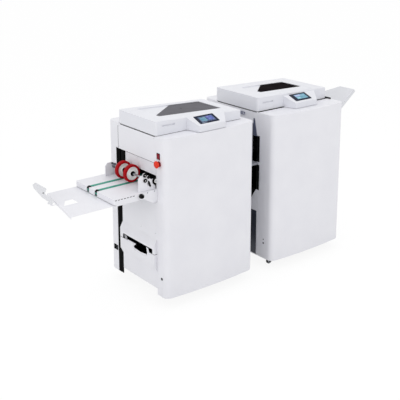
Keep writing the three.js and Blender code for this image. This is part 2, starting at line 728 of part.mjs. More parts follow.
// A sheet that steps out by midPanel.step, closed by a cheek at each side
function steppedSheet(low, stepLow, stepHigh, top, outIsHigh) {
  const x = trimmer.left;
  const out = x - midPanel.step;
  const t = panelSheet;
  const first = outIsHigh ? x : out;
  const second = outIsHigh ? out : x;
  const y0 = trimmer.side + fit;
  const y1 = midPanel.back;
  const sheet = alongY([
    [first, low], [first, stepLow], [second, stepHigh], [second, top],
    [second + t, top], [second + t, stepHigh], [first + t, stepLow], [first + t, low],
  ], y0, y1);
  const cheek = outIsHigh
    ? [[x, stepLow], [out, stepHigh], [out, top], [x + t, top], [x + t, stepLow]]
    : [[x + t, stepHigh], [x, stepHigh], [out, stepLow], [out, low], [x + t, low]];
  return join(sheet, ...[y0, y1 - t].map((y) => alongY(cheek, y, y + t)));
}

function midPanelSolid() {
  const m = trimmer;
  const x = m.left;
  const y1 = midPanel.back;
  const t = panelSheet;
  const top = deck.top - midPanel.drop;
  const sheet = steppedSheet(midPanel.low, midPanel.stepLow, midPanel.stepHigh, top, false);
  const slot = block(
    x - midPanel.step - overrun, x - midPanel.step + overrun, midPanel.slotFront, midPanel.slotBack,
    midPanel.low - overrun, midPanel.slotHigh,
  );
  const tabs = [midPanel.tabLow, midPanel.tabLow + midPanel.tabPitch].map((z) => join(
    block(x, x + midPanel.tabReach, y1 - t, y1, z, z + midPanel.tabHeight),
    block(x + plateInset + t, x + midPanel.tabReach, y1 - t, m.plateBack - fit, z, z + midPanel.tabHeight),
  ));
  return sheet.subtract(slot).add(join(...tabs));
}

// The bin's box, between the side plates, in Y
function binSpan() {
  return [trimmer.plateFront + framePlate + bin.clear, midPanel.back - bin.clear];
}
function binSolid() {
  const x = trimmer.left;
  const t = panelSheet;
  const front = steppedSheet(bin.low, bin.stepLow, bin.stepHigh, bin.top, true);
  const dip = alongX([
    [binDip.footFront, binDip.low], [binDip.footBack, binDip.low], [binDip.back, bin.top + fit],
    [binDip.front, bin.top + fit],
  ], x - midPanel.step - overrun, x - midPanel.step + overrun);
  const floor = panFloor + runner.height + fit;
  const [y0, y1] = binSpan();
  const outer = block(x, x + bin.depth, y0, y1, floor, bin.boxTop);
  const inner = block(x + t, x + bin.depth - t, y0 + t, y1 - t, floor + t, bin.boxTop + overrun);
  return join(front.subtract(dip), outer.subtract(inner));
}

function runners() {
  const m = trimmer;
  const x0 = m.left + m.panLeft + panSheet;
  const [y0, y1] = binSpan();
  return [y0 + runner.inset, y1 - runner.inset - runner.width].map((y) => block(
    x0, m.left + bin.depth, y, y + runner.width, panFloor - panSheet / 2, panFloor + runner.height,
  ));
}

function feet() {
  const m = trimmer;
  const places = [m.left + foot.inset, m.left + m.width - foot.inset].flatMap((x) => [
    [x, foot.depth], [x, m.back - coverStand - foot.depth],
  ]);
  return places.map(([x, y]) => join(
    rod('z', foot.pad, 0, foot.padHeight, x, y),
    rod('z', foot.stem, 0, panFloor, x, y, plainSides / 2),
  ));
}

// Right end of the trimmer, with the slot that booklets enter by
function trimmerInfeedPanel() {
  const m = trimmer;
  const x1 = m.left + m.width;
  const y0 = m.side + fit;
  const y1 = m.backSide - fit;
  const slot = block(
    x1 - overrun, x1 + overrun, y0 + exit.margin, y1 - exit.margin,
    deck.top - m.slotDrop, deck.top + m.slotRise,
  );
  return bentPanel(m).subtract(slot);
}
function bentPanel(m) {
  const x1 = m.left + m.width;
  return alongY([
    [x1 - panelSheet, coverFoot], [x1, coverFoot], [x1, coverTop], [lidRight(m), coverTop],
    [lidRight(m), coverTop - panelSheet], [x1 - panelSheet, coverTop - panelSheet],
  ], m.side + fit, m.backSide - fit);
}

// Emergency stop and rocker in the front cover's side
function switchHoles() {
  const hole = rod('x', emergency.stem + fit, -overrun, overrun, emergency.y, emergency.z);
  const half = rocker.width / 2 + fit;
  const tall = rocker.height / 2;
  const z = rocker.z;
  return join(hole, block(-overrun, overrun, rocker.y - half, rocker.y + half, z - tall, z + tall));
}
function emergencyButton() {
  const { radius, stem, dome, depth } = emergency;
  const back = emergency.stand;
  const front = back + emergency.head;
  return lathe([
    [0, -depth], [stem, -depth], [stem, back], [radius - dome, back],
    [radius, back + dome], [radius, front - dome], [radius - dome, front], [0, front],
  ], fineSides / 2).rotate([0, 0, 90]).translate([0, emergency.y, emergency.z]);
}
function rockerSolid() {
  const half = rocker.height / 2 - rocker.slack;
  const profile = [
    [-rocker.proud, -half], [-rocker.proud / 2, 0], [-rocker.proud, half], [rocker.depth, half],
    [rocker.depth, -half],
  ];
  const body = alongY(profile.reverse(), -rocker.width / 2, rocker.width / 2);
  return body.rotate([0, -rocker.tilt / degree, 0]).translate([0, rocker.y, rocker.z]);
}
function inletBlock(grow) {
  const halfY = inlet.width / 2 + grow;
  const halfZ = inlet.height / 2 + grow;
  const { y, z } = inlet;
  return block(-inlet.proud - grow, inlet.depth + grow, y - halfY, y + halfY, z - halfZ, z + halfZ);
}
function inletSolid() {
  const halfY = inlet.width / 2 - inlet.rim;
  const halfZ = inlet.height / 2 - inlet.rim;
  const { y, z } = inlet;
  const socket = block(-inlet.proud - overrun, inlet.socket, y - halfY, y + halfY, z - halfZ, z + halfZ);
  return inletBlock(0).subtract(socket);
}

// Rollers in pairs, with journals that run between the side plates
function roller(m, x, z, form) {
  const [y0, y1] = insideSpan(m);
  return join(
    rod('y', form.journal, y0, y1, x, z),
    rod('y', form.radius, y0 + form.faceInset, y1 - form.faceInset, x, z),
  );
}
function rollerPair(m, form) {
  const x = m.left + form.x;
  const low = deck.top - form.radius;
  return [roller(m, x, low, form), roller(m, x, deck.top + form.nip + form.radius, form)];
}

function knifeSolid() {
  const [y0, y1] = insideSpan(trimmer);
  const x = knife.x;
  const low = deck.top + knife.rise;
  return alongX([
    [y0, low + knife.shear], [y1, low], [y1, low + knife.height], [y0, low + knife.height],
  ], x, x + knife.thickness);
}
function knifeBedSolid() {
  const [y0, y1] = insideSpan(trimmer);
  const x1 = knife.x - fit;
  return block(x1 - knifeBed.width, x1, y0, y1, deck.top - knifeBed.depth, deck.top - fit);
}

// Folder: folding knife, stapling head
function foldBladeSolid() {
  const [y0, y1] = insideSpan(folder);
  const x = folder.left + foldBlade.x;
  const z = deck.top + foldRoller.nip / 2;
  const half = foldBlade.thickness / 2;
  return alongY([
    [x, z - fit], [x, z + fit], [x + foldBlade.taper, z + half], [x + foldBlade.length, z + half],
    [x + foldBlade.length, z - half], [x + foldBlade.taper, z - half],
  ], y0, y1);
}
function staplerSolid() {
  const [y0, y1] = insideSpan(folder);
  const x = folder.left + stapler.x;
  const low = deck.top + stapler.rise;
  const beam = block(x, x + stapler.beamWidth, y0, y1, low, low + stapler.beamHeight);
  const middle = (y0 + y1) / 2;
  const halfX = stapler.headWidth / 2;
  const halfY = stapler.headDepth / 2;
  const heads = [middle - stapler.pitch / 2, middle + stapler.pitch / 2].map((y) => block(
    x - halfX, x + halfX, y - halfY, y + halfY, low - stapler.headHeight, low + stapler.beamHeight / 2,
  ));
  return join(beam, ...heads);
}

// Folder ends: the delivery opening at the left, the infeed slot at the right
function folderExitPanel() {
  const m = folder;
  const y0 = m.side + fit;
  const y1 = m.backSide - fit;
  const face = block(m.left, m.left + panelSheet, y0, y1, coverFoot, coverTop - fit);
  const opening = block(
    m.left - overrun, m.left + overrun, exit.front, exit.back, deck.top - exit.drop, coverTop - exit.header,
  );
  const { pin, depth, y, z } = dockLatch;
  return face.subtract(opening).add(rod('x', pin, m.left - fit - depth, m.left + panelSheet, y, z));
}
function dockLatchSolid() {
  const m = folder;
  const x1 = m.left - fit;
  const x0 = x1 - dockLatch.depth;
  const half = dockLatch.height / 2;
  const { y, z } = dockLatch;
  const outline = roundedRect(y - half, y - half + dockLatch.width, z - half, z + half, dockLatch.turn);
  return alongX(outline, x0, x1).subtract(rod('x', dockLatch.pin + fit, x0 - overrun, x1 + overrun, y, z));
}
function folderInfeedPanel() {
  const m = folder;
  const x1 = m.left + m.width;
  const slot = block(
    x1 - overrun, x1 + overrun, infeed.slotFront, infeed.slotBack, infeed.slotLow, infeed.slotHigh,
  );
  const { z, radius, pinReach } = infeedHinge;
  const axisXAt = x1 + infeedHinge.stand;
  const ends = infeedEnds();
  const places = [
    { from: ends[0] - fit - infeedHinge.ear, pinFrom: 0, pinTo: pinReach },
    { from: ends[1] + fit, pinFrom: -pinReach, pinTo: 0 },
  ];
  const ears = places.map(({ from, pinFrom, pinTo }) => {
    const to = from + infeedHinge.ear;
    return join(
      block(x1 - panelSheet / 2, axisXAt, from, to, z - radius, z + radius),
      rod('y', radius, from, to, axisXAt, z),
      rod('y', infeedHinge.pin, from + pinFrom, to + pinTo, axisXAt, z),
    );
  });
  return join(bentPanel(m).subtract(slot), catchPin(), ...ears);
}
function infeedEnds() {
  return [folder.side + infeedHinge.earInset, folder.side + infeedHinge.earInset + infeed.hingeWidth];
}

// Infeed tray, raised as stored: a tapered sheet with a folded rim along its front edge
function infeedSolid() {
  const x = folder.left + folder.width + infeedHinge.stand;
  const [h0, h1] = infeedEnds();
  const out = infeedHinge.radius + infeed.clear;
  const half = infeed.sheet / 2;
  const plate = alongZ([
    [out, infeed.front], [infeed.length, infeed.front], [infeed.length, infeed.front + infeed.tipWidth],
    [infeed.straight, infeed.front + infeed.baseWidth], [out, infeed.front + infeed.baseWidth],
  ], -half, half);
  const rim = block(out, infeed.length, infeed.front, infeed.front + infeed.sheet, half - infeed.rim, half);
  const leaf = block(0, infeed.straight / 2, h0, h1, -half, half);
  const barrel = rod('y', infeedHinge.radius, h0, h1, 0, 0);
  const cut = rod('y', infeedHinge.pin + fit, h0 - overrun, h1 + overrun, 0, 0);
  return join(plate, rim, leaf, barrel).subtract(cut)
    .rotate([0, -infeed.slope / degree, 0]).translate([x, 0, infeedHinge.z]);
}

// Lid catch: a lever that turns on a pin beside the folder's lid
function catchX() {
  return folder.left + folder.width - folder.endStrip / 2;
}
function catchSolid() {
  const x = catchX();
  const low = coverTop + fit;
  const high = low + lidCatch.height;
  const { half, pivot } = lidCatch;
  const outline = roundedRect(x - half, x + half, lidCatch.front, pivot + half, lidCatch.round);
  const hole = rod('z', lidCatch.pin + fit, coverTop - overrun, high + overrun, x, pivot);
  return alongZ(outline, low, high).subtract(hole);
}
function catchPin() {
  const high = coverTop + fit + lidCatch.height;
  return rod('z', lidCatch.pin, coverTop - panelSheet / 2, high, catchX(), lidCatch.pivot);
}

// Transfer bridge: a plate with folded rails that butts on both machines
function bridgeSolid() {
  const x0 = trimmer.left + trimmer.width + fit;
  const x1 = folder.left - fit;
  const top = deck.top - bridge.drop;
  const low = top - bridge.height;
  const floor = block(x0, x1, bridge.front, bridge.back, top - bridge.wall, top);
  const rails = [bridge.front, bridge.back - bridge.wall];
  return join(floor, ...rails.map((y) => block(x0, x1, y, y + bridge.wall, low, top)));
}

// Castors under the folder
function castorPlaces() {
  const m = folder;
  const x0 = m.left + castor.inset;
  const x1 = m.left + m.width - castor.inset;
  const y0 = castor.inset;
  const y1 = m.back - coverStand - castor.inset;
  return [['front_left', x0, y0], ['front_right', x1, y0], ['back_left', x0, y1], ['back_right', x1, y1]];
}
const castorTop = coverFoot + fit - castor.plateThickness - fit;
function castorPads() {
  const half = castor.plate / 2;
  const low = coverFoot + fit;
  return castorPlaces().map(([, x, y]) => block(
    x - half, x + half, y - half, y + half, low - castor.plateThickness, low + panSheet / 2,
  ));
}
function castorFork(x, y) {
  const legIn = castor.wheelWidth / 2 + castor.side;
  const legOut = legIn + castor.leg;
  const crownTop = castorTop - castor.headHeight;
  const crownLow = crownTop - castor.crown;
  const axleX = x + castor.trail;
  const z = castor.wheelRadius;
  const crown = block(x - castor.head, axleX + castor.head, y - legOut, y + legOut, crownLow, crownTop);
  const legs = [[y - legOut, y - legIn], [y + legIn, y + legOut]].map(([from, to]) => alongY([
    [x - castor.head, crownTop], [axleX - castor.axleBoss, z],
    [axleX - castor.axleBoss, z - castor.axleBoss], [axleX + castor.axleBoss, z - castor.axleBoss],
    [axleX + castor.head, crownTop],
  ], from, to));
  const head = rod('z', castor.head, crownLow, castorTop, x, y);
  const holes = rod('y', castor.axle + fit, y - legOut - overrun, y + legOut + overrun, axleX, z);
  return join(crown, head, ...legs).subtract(holes);
}
function castorWheel(x, y) {
  const legOut = castor.wheelWidth / 2 + castor.side + castor.leg;
  const r = castor.wheelRadius;
  const half = castor.wheelWidth / 2;
  const edge = half - castor.tread;
  return lathe([
    [0, -legOut], [castor.axle, -legOut], [castor.axle, -half], [r - castor.tread, -half], [r, -edge],
    [r, edge], [r - castor.tread, half], [castor.axle, half], [castor.axle, legOut], [0, legOut],
  ], fineSides / 2 + plainSides / 2).translate([x + castor.trail, y, r]);
}

// The trimmer's pieces
add('trimmer_base_pan', join(pan(trimmer), ...runners(), ...feet()), 'greyPaint');
const bosses = earBosses.map(earBossSolid);
const frontPlate = trimmerPlate(trimmer.plateFront, ear.front, ear.frontRise)
  .add(join(...bosses.map(({ ring }) => ring)))
  .subtract(join(...bosses.map(({ bored }) => bored)))
  .subtract(earOpening(trimmer.plateFront))
  .subtract(bore(trimmer.plateFront, belt.driveX, beltAxisZ, shaftRadius))
  .subtract(bore(trimmer.plateFront, timing.discX, discWheel.z, timing.stub))
  .subtract(bore(trimmer.plateFront, idler.x, deck.top + idler.rise, idler.stub));
add('trimmer_front_plate', frontPlate, 'whitePaint');
add('trimmer_back_plate', trimmerPlate(trimmer.plateBack, ear.back, ear.backRise), 'whitePaint');
add('trimmer_front_cover', frontCover(trimmer).subtract(switchHoles()), 'whitePaint');
add('trimmer_back_cover', backCover(trimmer).subtract(inletBlock(fit)), 'whitePaint');
add('trimmer_upper_end_panel', upperEndPanel(), 'whitePaint');
add('trimmer_lower_end_panel', midPanelSolid(), 'whitePaint');
add('trimmer_waste_bin', binSolid(), 'whitePaint');
add('trimmer_infeed_panel', trimmerInfeedPanel(), 'whitePaint');
add('trimmer_lid', lid(trimmer), 'whitePaint');
add('trimmer_lid_window', paneSolid(trimmer), 'glass');
add('trimmer_screen', screenSolid(trimmer, 0), 'screen');
add('trimmer_deck', deckSolid(), 'whitePaint');
function deckBelt(y) {
  return beltLoop(tailWheel, driveWheel, 0, belt.thickness, y - belt.width / 2, y + belt.width / 2);
}
add('trimmer_deck_belt_front', deckBelt(belt.frontLine), 'greenBelt');
add('trimmer_deck_belt_back', deckBelt(belt.backLine), 'greenBelt');
const webs = webPlaces();
const shaftFrom = webs[0] - webHalf / 2;
const shaftTo = webs[1] + deckSheet + webHalf / 2;
const tailShaft = rod('y', shaftRadius, shaftFrom, shaftTo, belt.tailX, beltAxisZ);
add('trimmer_tail_shaft', join(tailShaft, ...pulleys(belt.tailX)), 'steel');
const inside = insideSpan(trimmer);
add('trimmer_drive_shaft', join(rod('y', shaftRadius, timingFront, inside[1], belt.driveX, beltAxisZ),
  rod('y', timing.smallRadius - fit, timingFront, timingBack, belt.driveX, beltAxisZ),
  ...pulleys(belt.driveX)), 'steel');
add('trimmer_timing_disc', join(
  rod('y', timing.discRadius - fit, timingFront, timingBack, timing.discX, discWheel.z, fineSides),
  rod('y', timing.stub, timingFront, inside[0] + timing.width, timing.discX, discWheel.z),
), 'whitePlastic');
const timingBelt = beltLoop(discWheel, smallWheel, 0, timing.thickness, timingFront, timingBack);
add('trimmer_timing_belt', timingBelt, 'blackPlastic');
add('trimmer_idler', join(
  rod('y', idler.radius, timingFront, timingBack, idler.x, deck.top + idler.rise),
  rod('y', idler.stub, timingFront, inside[0] + timing.width, idler.x, deck.top + idler.rise),
), 'steel');
add('trimmer_hold_down_hubs', join(rod('y', holdDown.axle, inside[0], inside[1], holdDown.x, holdDownZ),
  ...beltLines().map(hubSolid)), 'whitePlastic');
add('trimmer_hold_down_tyre_front', tyreSolid(belt.frontLine), 'redRubber');
add('trimmer_hold_down_tyre_back', tyreSolid(belt.backLine), 'redRubber');
add('trimmer_extension_tray', traySolid(), 'whitePaint');
add('trimmer_end_stop', stopSolid(), 'greyPaint');
add('trimmer_tray_knob', knobSolid(), 'blackPlastic');
add('trimmer_emergency_stop', emergencyButton(), 'redPlastic');
add('trimmer_power_rocker', rockerSolid(), 'redPlastic');
add('trimmer_power_inlet', inletSolid(), 'blackPlastic');
add('trimmer_knife', knifeSolid(), 'steel');
add('trimmer_knife_bed', knifeBedSolid(), 'frameSteel');
const pressPair = rollerPair(trimmer, press);
add('trimmer_press_roller_lower', pressPair[0], 'steel');
add('trimmer_press_roller_upper', pressPair[1], 'steel');

// The folder's pieces
add('folder_base_pan', join(pan(folder), ...castorPads()), 'greyPaint');
add('folder_front_plate', plainPlate(folder, folder.plateFront), 'frameSteel');
add('folder_back_plate', plainPlate(folder, folder.plateBack), 'frameSteel');
add('folder_front_cover', frontCover(folder), 'whitePaint');
add('folder_back_cover', backCover(folder), 'whitePaint');
add('folder_exit_panel', folderExitPanel(), 'whitePaint');
add('folder_infeed_panel', folderInfeedPanel(), 'whitePaint');
add('folder_lid', lid(folder), 'whitePaint');
add('folder_lid_window', paneSolid(folder), 'glass');
add('folder_screen', screenSolid(folder, 0), 'screen');
add('folder_infeed_tray', infeedSolid(), 'whitePaint');
add('folder_lid_catch', catchSolid(), 'blackPlastic');
add('folder_dock_latch', dockLatchSolid(), 'greyPaint');
add('transfer_bridge', bridgeSolid(), 'greyPaint');
const foldPair = rollerPair(folder, foldRoller);
add('folder_fold_roller_lower', foldPair[0], 'steel');
add('folder_fold_roller_upper', foldPair[1], 'steel');
add('folder_fold_blade', foldBladeSolid(), 'steel');
add('folder_stapling_head', staplerSolid(), 'frameSteel');
for (const [place, x, y] of castorPlaces()) {
  add(`folder_castor_${place}`, castorFork(x, y), 'steel');
  add(`folder_castor_wheel_${place}`, castorWheel(x, y), 'blackPlastic');
}

// The origin is on the floor, below the middle of the whole line
const bounds = new THREE.Box3().setFromObject(machine);
const centre = bounds.getCenter(new THREE.Vector3());
machine.position.set(-centre.x, -centre.y, -bounds.min.z);
const line = new THREE.Group();
line.add(machine);

export default line;
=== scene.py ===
# Looks of a booklet-making line: a folder cabinet docked to a trimmer cabinet with a belt deck.
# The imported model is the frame. Everything here is in metres, in the frame's own axes:
# X along the feed line, Y from the operator's side to the back, Z up.
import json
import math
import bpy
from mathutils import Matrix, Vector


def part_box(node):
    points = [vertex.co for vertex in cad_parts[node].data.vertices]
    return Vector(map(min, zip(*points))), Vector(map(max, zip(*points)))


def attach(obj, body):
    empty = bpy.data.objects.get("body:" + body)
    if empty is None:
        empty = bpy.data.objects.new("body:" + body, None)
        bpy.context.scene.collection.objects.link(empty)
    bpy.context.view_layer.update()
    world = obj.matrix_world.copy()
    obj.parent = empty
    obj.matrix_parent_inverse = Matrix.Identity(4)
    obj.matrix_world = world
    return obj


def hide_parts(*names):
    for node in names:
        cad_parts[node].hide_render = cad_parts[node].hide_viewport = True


bl_info = {
    "name": "Booklet Line Finish",
    "version": (1, 0, 0),
    "blender": (4, 5, 0),
    "location": "3D View > Sidebar > Booklet Line",
    "description": "Builds the finished surfaces and small fittings of a booklet-making line",
    "category": "Object",
}

import bmesh
import bpy
from mathutils import Matrix, Vector

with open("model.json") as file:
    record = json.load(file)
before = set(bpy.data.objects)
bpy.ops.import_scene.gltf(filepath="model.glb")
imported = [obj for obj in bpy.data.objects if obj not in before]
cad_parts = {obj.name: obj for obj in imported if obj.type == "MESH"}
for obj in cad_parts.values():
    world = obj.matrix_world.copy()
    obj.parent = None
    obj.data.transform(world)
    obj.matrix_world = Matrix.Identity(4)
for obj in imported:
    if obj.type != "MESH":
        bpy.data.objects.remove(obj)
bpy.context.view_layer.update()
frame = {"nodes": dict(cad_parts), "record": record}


MM = 0.001
NODES = frame["nodes"]
BODY_OF_NODE = {
    node: body
    for body, members in frame["record"]["behaviour"]["bodies"].items()
    for node in members
}
SLOT_OF_NODE = {row["node"]: row["material_slot"] for row in frame["record"]["subparts"]}


# Places that the fittings are set out from
def low(node):
    """The lowest corner of a node's box."""
    return Vector(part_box(node)[0])


def high(node):
    """The highest corner of a node's box."""
    return Vector(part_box(node)[1])


def middle(node):
    """The middle of a node's box."""
    return (low(node) + high(node)) / 2


# How far the trimmer's front cover stands out before the line that depths are counted from
COVER_STAND = 48 * MM
ORIGIN = Vector((low("trimmer_front_cover").x, low("trimmer_front_cover").y + COVER_STAND, 0))
# The cabinets' ends and the covers' top, counted as in at()
TRIMMER_RIGHT = 654
FOLDER_LEFT = 810
FOLDER_RIGHT = 1434
COVER_TOP = 1000


def at(x, y, z):
    """A place in millimetres: from the trimmer's left end, its covers' depth line and the floor."""
    return ORIGIN + Vector((x, y, z)) * MM


class LineSizes(bpy.types.PropertyGroup):
    """Sizes that a user would change."""
    edge_round: bpy.props.FloatProperty(
        name="Edge round", description="Radius on folded sheet edges", default=0.8 * MM, unit="LENGTH")
    lid_round: bpy.props.FloatProperty(
        name="Lid round", description="Radius on the moulded lids' edges", default=2.2 * MM, unit="LENGTH")
    fine_round: bpy.props.FloatProperty(
        name="Fine round", description="Radius on machined edges", default=0.5 * MM, unit="LENGTH")
    screw_radius: bpy.props.FloatProperty(
        name="Screw radius", description="Radius of the panel screws' heads", default=4.2 * MM,
        unit="LENGTH")
    gasket_height: bpy.props.FloatProperty(
        name="Gasket height", description="Height of the foam strip under a lid", default=1.6 * MM,
        unit="LENGTH")


class LineColours(bpy.types.PropertyGroup):
    """Colours that a user would change, as sRGB hex values."""
    cover: bpy.props.StringProperty(
        name="Covers", description="Powder coat of the covers", default="#E9E9EE")
    lid: bpy.props.StringProperty(
        name="Lids", description="Moulded lids and consoles", default="#E3E4EA")
    pale_grey: bpy.props.StringProperty(
        name="Pale grey", description="Grey powder coat", default="#DEDFE3")
    frame: bpy.props.StringProperty(
        name="Side plates", description="Enamel on inner plates", default="#0C0C0E")
    tyre: bpy.props.StringProperty(
        name="Tyres", description="Hold-down wheels' tyres", default="#B20A17")
    belt: bpy.props.StringProperty(
        name="Belts", description="Deck belts", default="#2A9B84")
    button: bpy.props.StringProperty(
        name="Stop button", description="Mushroom button", default="#E23A22")
    rocker: bpy.props.StringProperty(
        name="Rocker", description="Power rocker and the stop button's collar", default="#850B20")
    trimmer_window: bpy.props.StringProperty(
        name="Trimmer window", description="Smoked acrylic over the trimmer", default="#55545C")
    folder_window: bpy.props.StringProperty(
        name="Folder window", description="Smoked acrylic over the folder", default="#221E20")
    bezel: bpy.props.StringProperty(
        name="Bezel", description="Rim of the touch screens", default="#152039")
    display: bpy.props.StringProperty(
        name="Display", description="Lit field of the screens", default="#223A62")


def sizes():
    """The sizes as the user set them."""
    return bpy.context.scene.line_sizes


def colours():
    """The colours as the user set them."""
    return bpy.context.scene.line_colours


# Materials
def linear(text):
    """An sRGB hex value as linear red, green, blue and alpha."""
    parts = [int(text[i:i + 2], 16) / 255 for i in (1, 3, 5)]
    return [c / 12.92 if c <= 0.04045 else ((c + 0.055) / 1.055) ** 2.4 for c in parts] + [1.0]


def mixed(text, other, share):
    """A colour part of the way from one hex value to another."""
    return [a + (b - a) * share for a, b in zip(linear(text), linear(other))]


def add_node(tree, kind, settings=None, inputs=None, stops=()):
    """Adds a shader node. An input is a value or another node's output, stops are a ramp's colours."""
    made = tree.nodes.new(kind)
    for key, value in (settings or {}).items():
        setattr(made, key, value)
    for index, (position, colour) in enumerate(stops):
        made.color_ramp.elements[index].position = position
        made.color_ramp.elements[index].color = colour
    for key, value in (inputs or {}).items():
        socket = made.inputs[key]
        if isinstance(value, bpy.types.NodeSocket):
            tree.links.new(value, socket)
        else:
            socket.default_value = value
    return made


def per_metre(pattern_mm):
    """Noise scale for a pattern of this real size."""
    return 1 / (pattern_mm * MM)


def new_material(name):
    """A material by this name: its node tree and its place in metres, or no tree if it is made already."""
    material = bpy.data.materials.get(name)
    if material:
        return material, None, None
    material = bpy.data.materials.new(name)
    material.use_nodes = True
    tree = material.node_tree
    tree.nodes.clear()
    return material, tree, add_node(tree, "ShaderNodeTexCoord").outputs["Object"]


def close_material(tree, shader):
    """Leads a shader to the material's output."""
    output = add_node(tree, "ShaderNodeOutputMaterial")
    tree.links.new(shader.outputs[0], output.inputs["Surface"])


def powder_coat(name, base, shade, rough=0.45):
    """Powder-coated sheet steel: a baked film with a faint orange peel and a softly broken gloss.

    The peel's cells are about 1 mm on the real film and are drawn at 3 mm, so that they show.
    """
    material, tree, place = new_material(name)
    if tree is None:
        return material
    peel = add_node(tree, "ShaderNodeTexNoise", None, {
        "Vector": place, "Scale": per_metre(3), "Detail": 2.0})
    cloud = add_node(tree, "ShaderNodeTexNoise", None, {
        "Vector": place, "Scale": per_metre(170), "Detail": 3.0})
    tone = add_node(tree, "ShaderNodeValToRGB", None, {"Fac": cloud.outputs["Fac"]},
                    ((0.3, mixed(base, shade, 0.35)), (0.7, linear(base))))
    gloss = add_node(tree, "ShaderNodeMapRange", None, {
        "Value": peel.outputs["Fac"], "To Min": rough - 0.05, "To Max": rough + 0.06})
    relief = add_node(tree, "ShaderNodeBump", None, {
        "Height": peel.outputs["Fac"], "Distance": 0.05 * MM, "Strength": 0.5})
    close_material(tree, add_node(tree, "ShaderNodeBsdfPrincipled", None, {
        "Base Color": tone.outputs["Color"], "Roughness": gloss.outputs["Result"],
        "Normal": relief.outputs["Normal"], "IOR": 1.5, "Coat Weight": 0.12, "Coat Roughness": 0.3}))
    return material


def white_powder_coat():
    """Cool white of the covers and panels."""
    return powder_coat("powder_coated_steel_white", colours().cover, "#DDDDE4")


def grey_powder_coat():
    """Pale grey, a little flatter than the covers."""
    return powder_coat("powder_coated_steel_pale_grey", colours().pale_grey, "#CDCED5", 0.5)


def painted_shade_slate():
    """Painted shade: dark blue slate, nearly black, for the folder's lower left panel in the gap between
    the machines.
    """
    return powder_coat("painted_shade_slate_powder_coat", "#10162A", "#0A0E1A", 0.5)


def painted_shade_mid_grey():
    """Painted shade: mid grey for the sheets that stand in the gap's shade."""
    return powder_coat("painted_shade_mid_grey_powder_coat", "#8F9199", "#7D7F88", 0.5)


def painted_shade_blue_grey():
    """Painted shade: dark blue grey for the band at the top of the gap, where the folder's end stands in
    shade.
    """
    return powder_coat("painted_shade_blue_grey_powder_coat", "#4C5168", "#3A3F55", 0.5)


def violet_grey_powder_coat():
    """Violet grey of the docking latch, which stands out against the white end."""
    return powder_coat("powder_coated_steel_violet_grey", "#85889B", "#75788A", 0.5)


def abs_moulding():
    """Injection-moulded ABS: spark-eroded tool texture, softer gloss than the painted steel.

    The sparks' grain is about 0.3 mm and is drawn at 1.2 mm, so that it shows.
    """
    material, tree, place = new_material("moulded_abs_white")
    if tree is None:
        return material
    spark = add_node(tree, "ShaderNodeTexNoise", None, {
        "Vector": place, "Scale": per_metre(1.2), "Detail": 3.0, "Roughness": 0.6})
    cloud = add_node(tree, "ShaderNodeTexNoise", None, {
        "Vector": place, "Scale": per_metre(220), "Detail": 2.0})
    tone = add_node(tree, "ShaderNodeValToRGB", None, {"Fac": cloud.outputs["Fac"]},
                    ((0.3, mixed(colours().lid, "#D8D9E0", 0.3)), (0.7, linear(colours().lid))))
    relief = add_node(tree, "ShaderNodeBump", None, {
        "Height": spark.outputs["Fac"], "Distance": 0.04 * MM, "Strength": 0.4})
    close_material(tree, add_node(tree, "ShaderNodeBsdfPrincipled", None, {
        "Base Color": tone.outputs["Color"], "Roughness": 0.4, "IOR": 1.53,
        "Normal": relief.outputs["Normal"]}))
    return material


def black_enamel():
    """Stoved black enamel on laser-cut plate: satin, with the faint mottling of a dipped coat."""
    material, tree, place = new_material("stoved_enamel_black")
    if tree is None:
        return material
    mottle = add_node(tree, "ShaderNodeTexNoise", None, {
        "Vector": place, "Scale": per_metre(12), "Detail": 4.0})
    tone = add_node(tree, "ShaderNodeValToRGB", None, {"Fac": mottle.outputs["Fac"]},
                    ((0.3, mixed(colours().frame, "#0A0A0C", 0.5)), (0.7, linear(colours().frame))))
    close_material(tree, add_node(tree, "ShaderNodeBsdfPrincipled", None, {
        "Base Color": tone.outputs["Color"], "Roughness": 0.6, "Specular IOR Level": 0.05}))
    return material


def foam_and_painted_shade():
    """Black open-cell foam for the lid gaskets, its pores a little darker; inside the covers and the bin
    the same black is painted shade, where their insides stand dark.
    """
    material, tree, place = new_material("black_foam_and_painted_shade")
    if tree is None:
        return material
    pores = add_node(tree, "ShaderNodeTexVoronoi", None, {"Vector": place, "Scale": per_metre(3)})
    tone = add_node(tree, "ShaderNodeValToRGB", None, {"Fac": pores.outputs["Distance"]},
                    ((0.1, linear("#08080A")), (0.8, linear("#1A1A1D"))))
    relief = add_node(tree, "ShaderNodeBump", None, {
        "Height": pores.outputs["Distance"], "Distance": 0.8 * MM, "Strength": 0.7})
    close_material(tree, add_node(tree, "ShaderNodeBsdfPrincipled", None, {
        "Base Color": tone.outputs["Color"], "Roughness": 0.95, "Specular IOR Level": 0.05,
        "Normal": relief.outputs["Normal"]}))
    return material


def ground_steel():
    """Ground bar: fine lines along the bar that spread the highlight across it."""
    material, tree, place = new_material("ground_steel")
    if tree is None:
        return material
    stretch = add_node(tree, "ShaderNodeMapping", None, {
        "Vector": place, "Scale": [per_metre(size) for size in (0.6, 14, 0.6)]})
    lines = add_node(tree, "ShaderNodeTexNoise", None, {
        "Vector": stretch.outputs["Vector"], "Scale": 1.0, "Detail": 3.0})
    gloss = add_node(tree, "ShaderNodeMapRange", None, {
        "Value": lines.outputs["Fac"], "To Min": 0.2, "To Max": 0.42})
    relief = add_node(tree, "ShaderNodeBump", None, {
        "Height": lines.outputs["Fac"], "Distance": 0.02 * MM, "Strength": 0.3})
    close_material(tree, add_node(tree, "ShaderNodeBsdfPrincipled", None, {
        "Base Color": linear("#B4B7BD"), "Metallic": 1.0, "Roughness": gloss.outputs["Result"],
        "Normal": relief.outputs["Normal"]}))
    return material


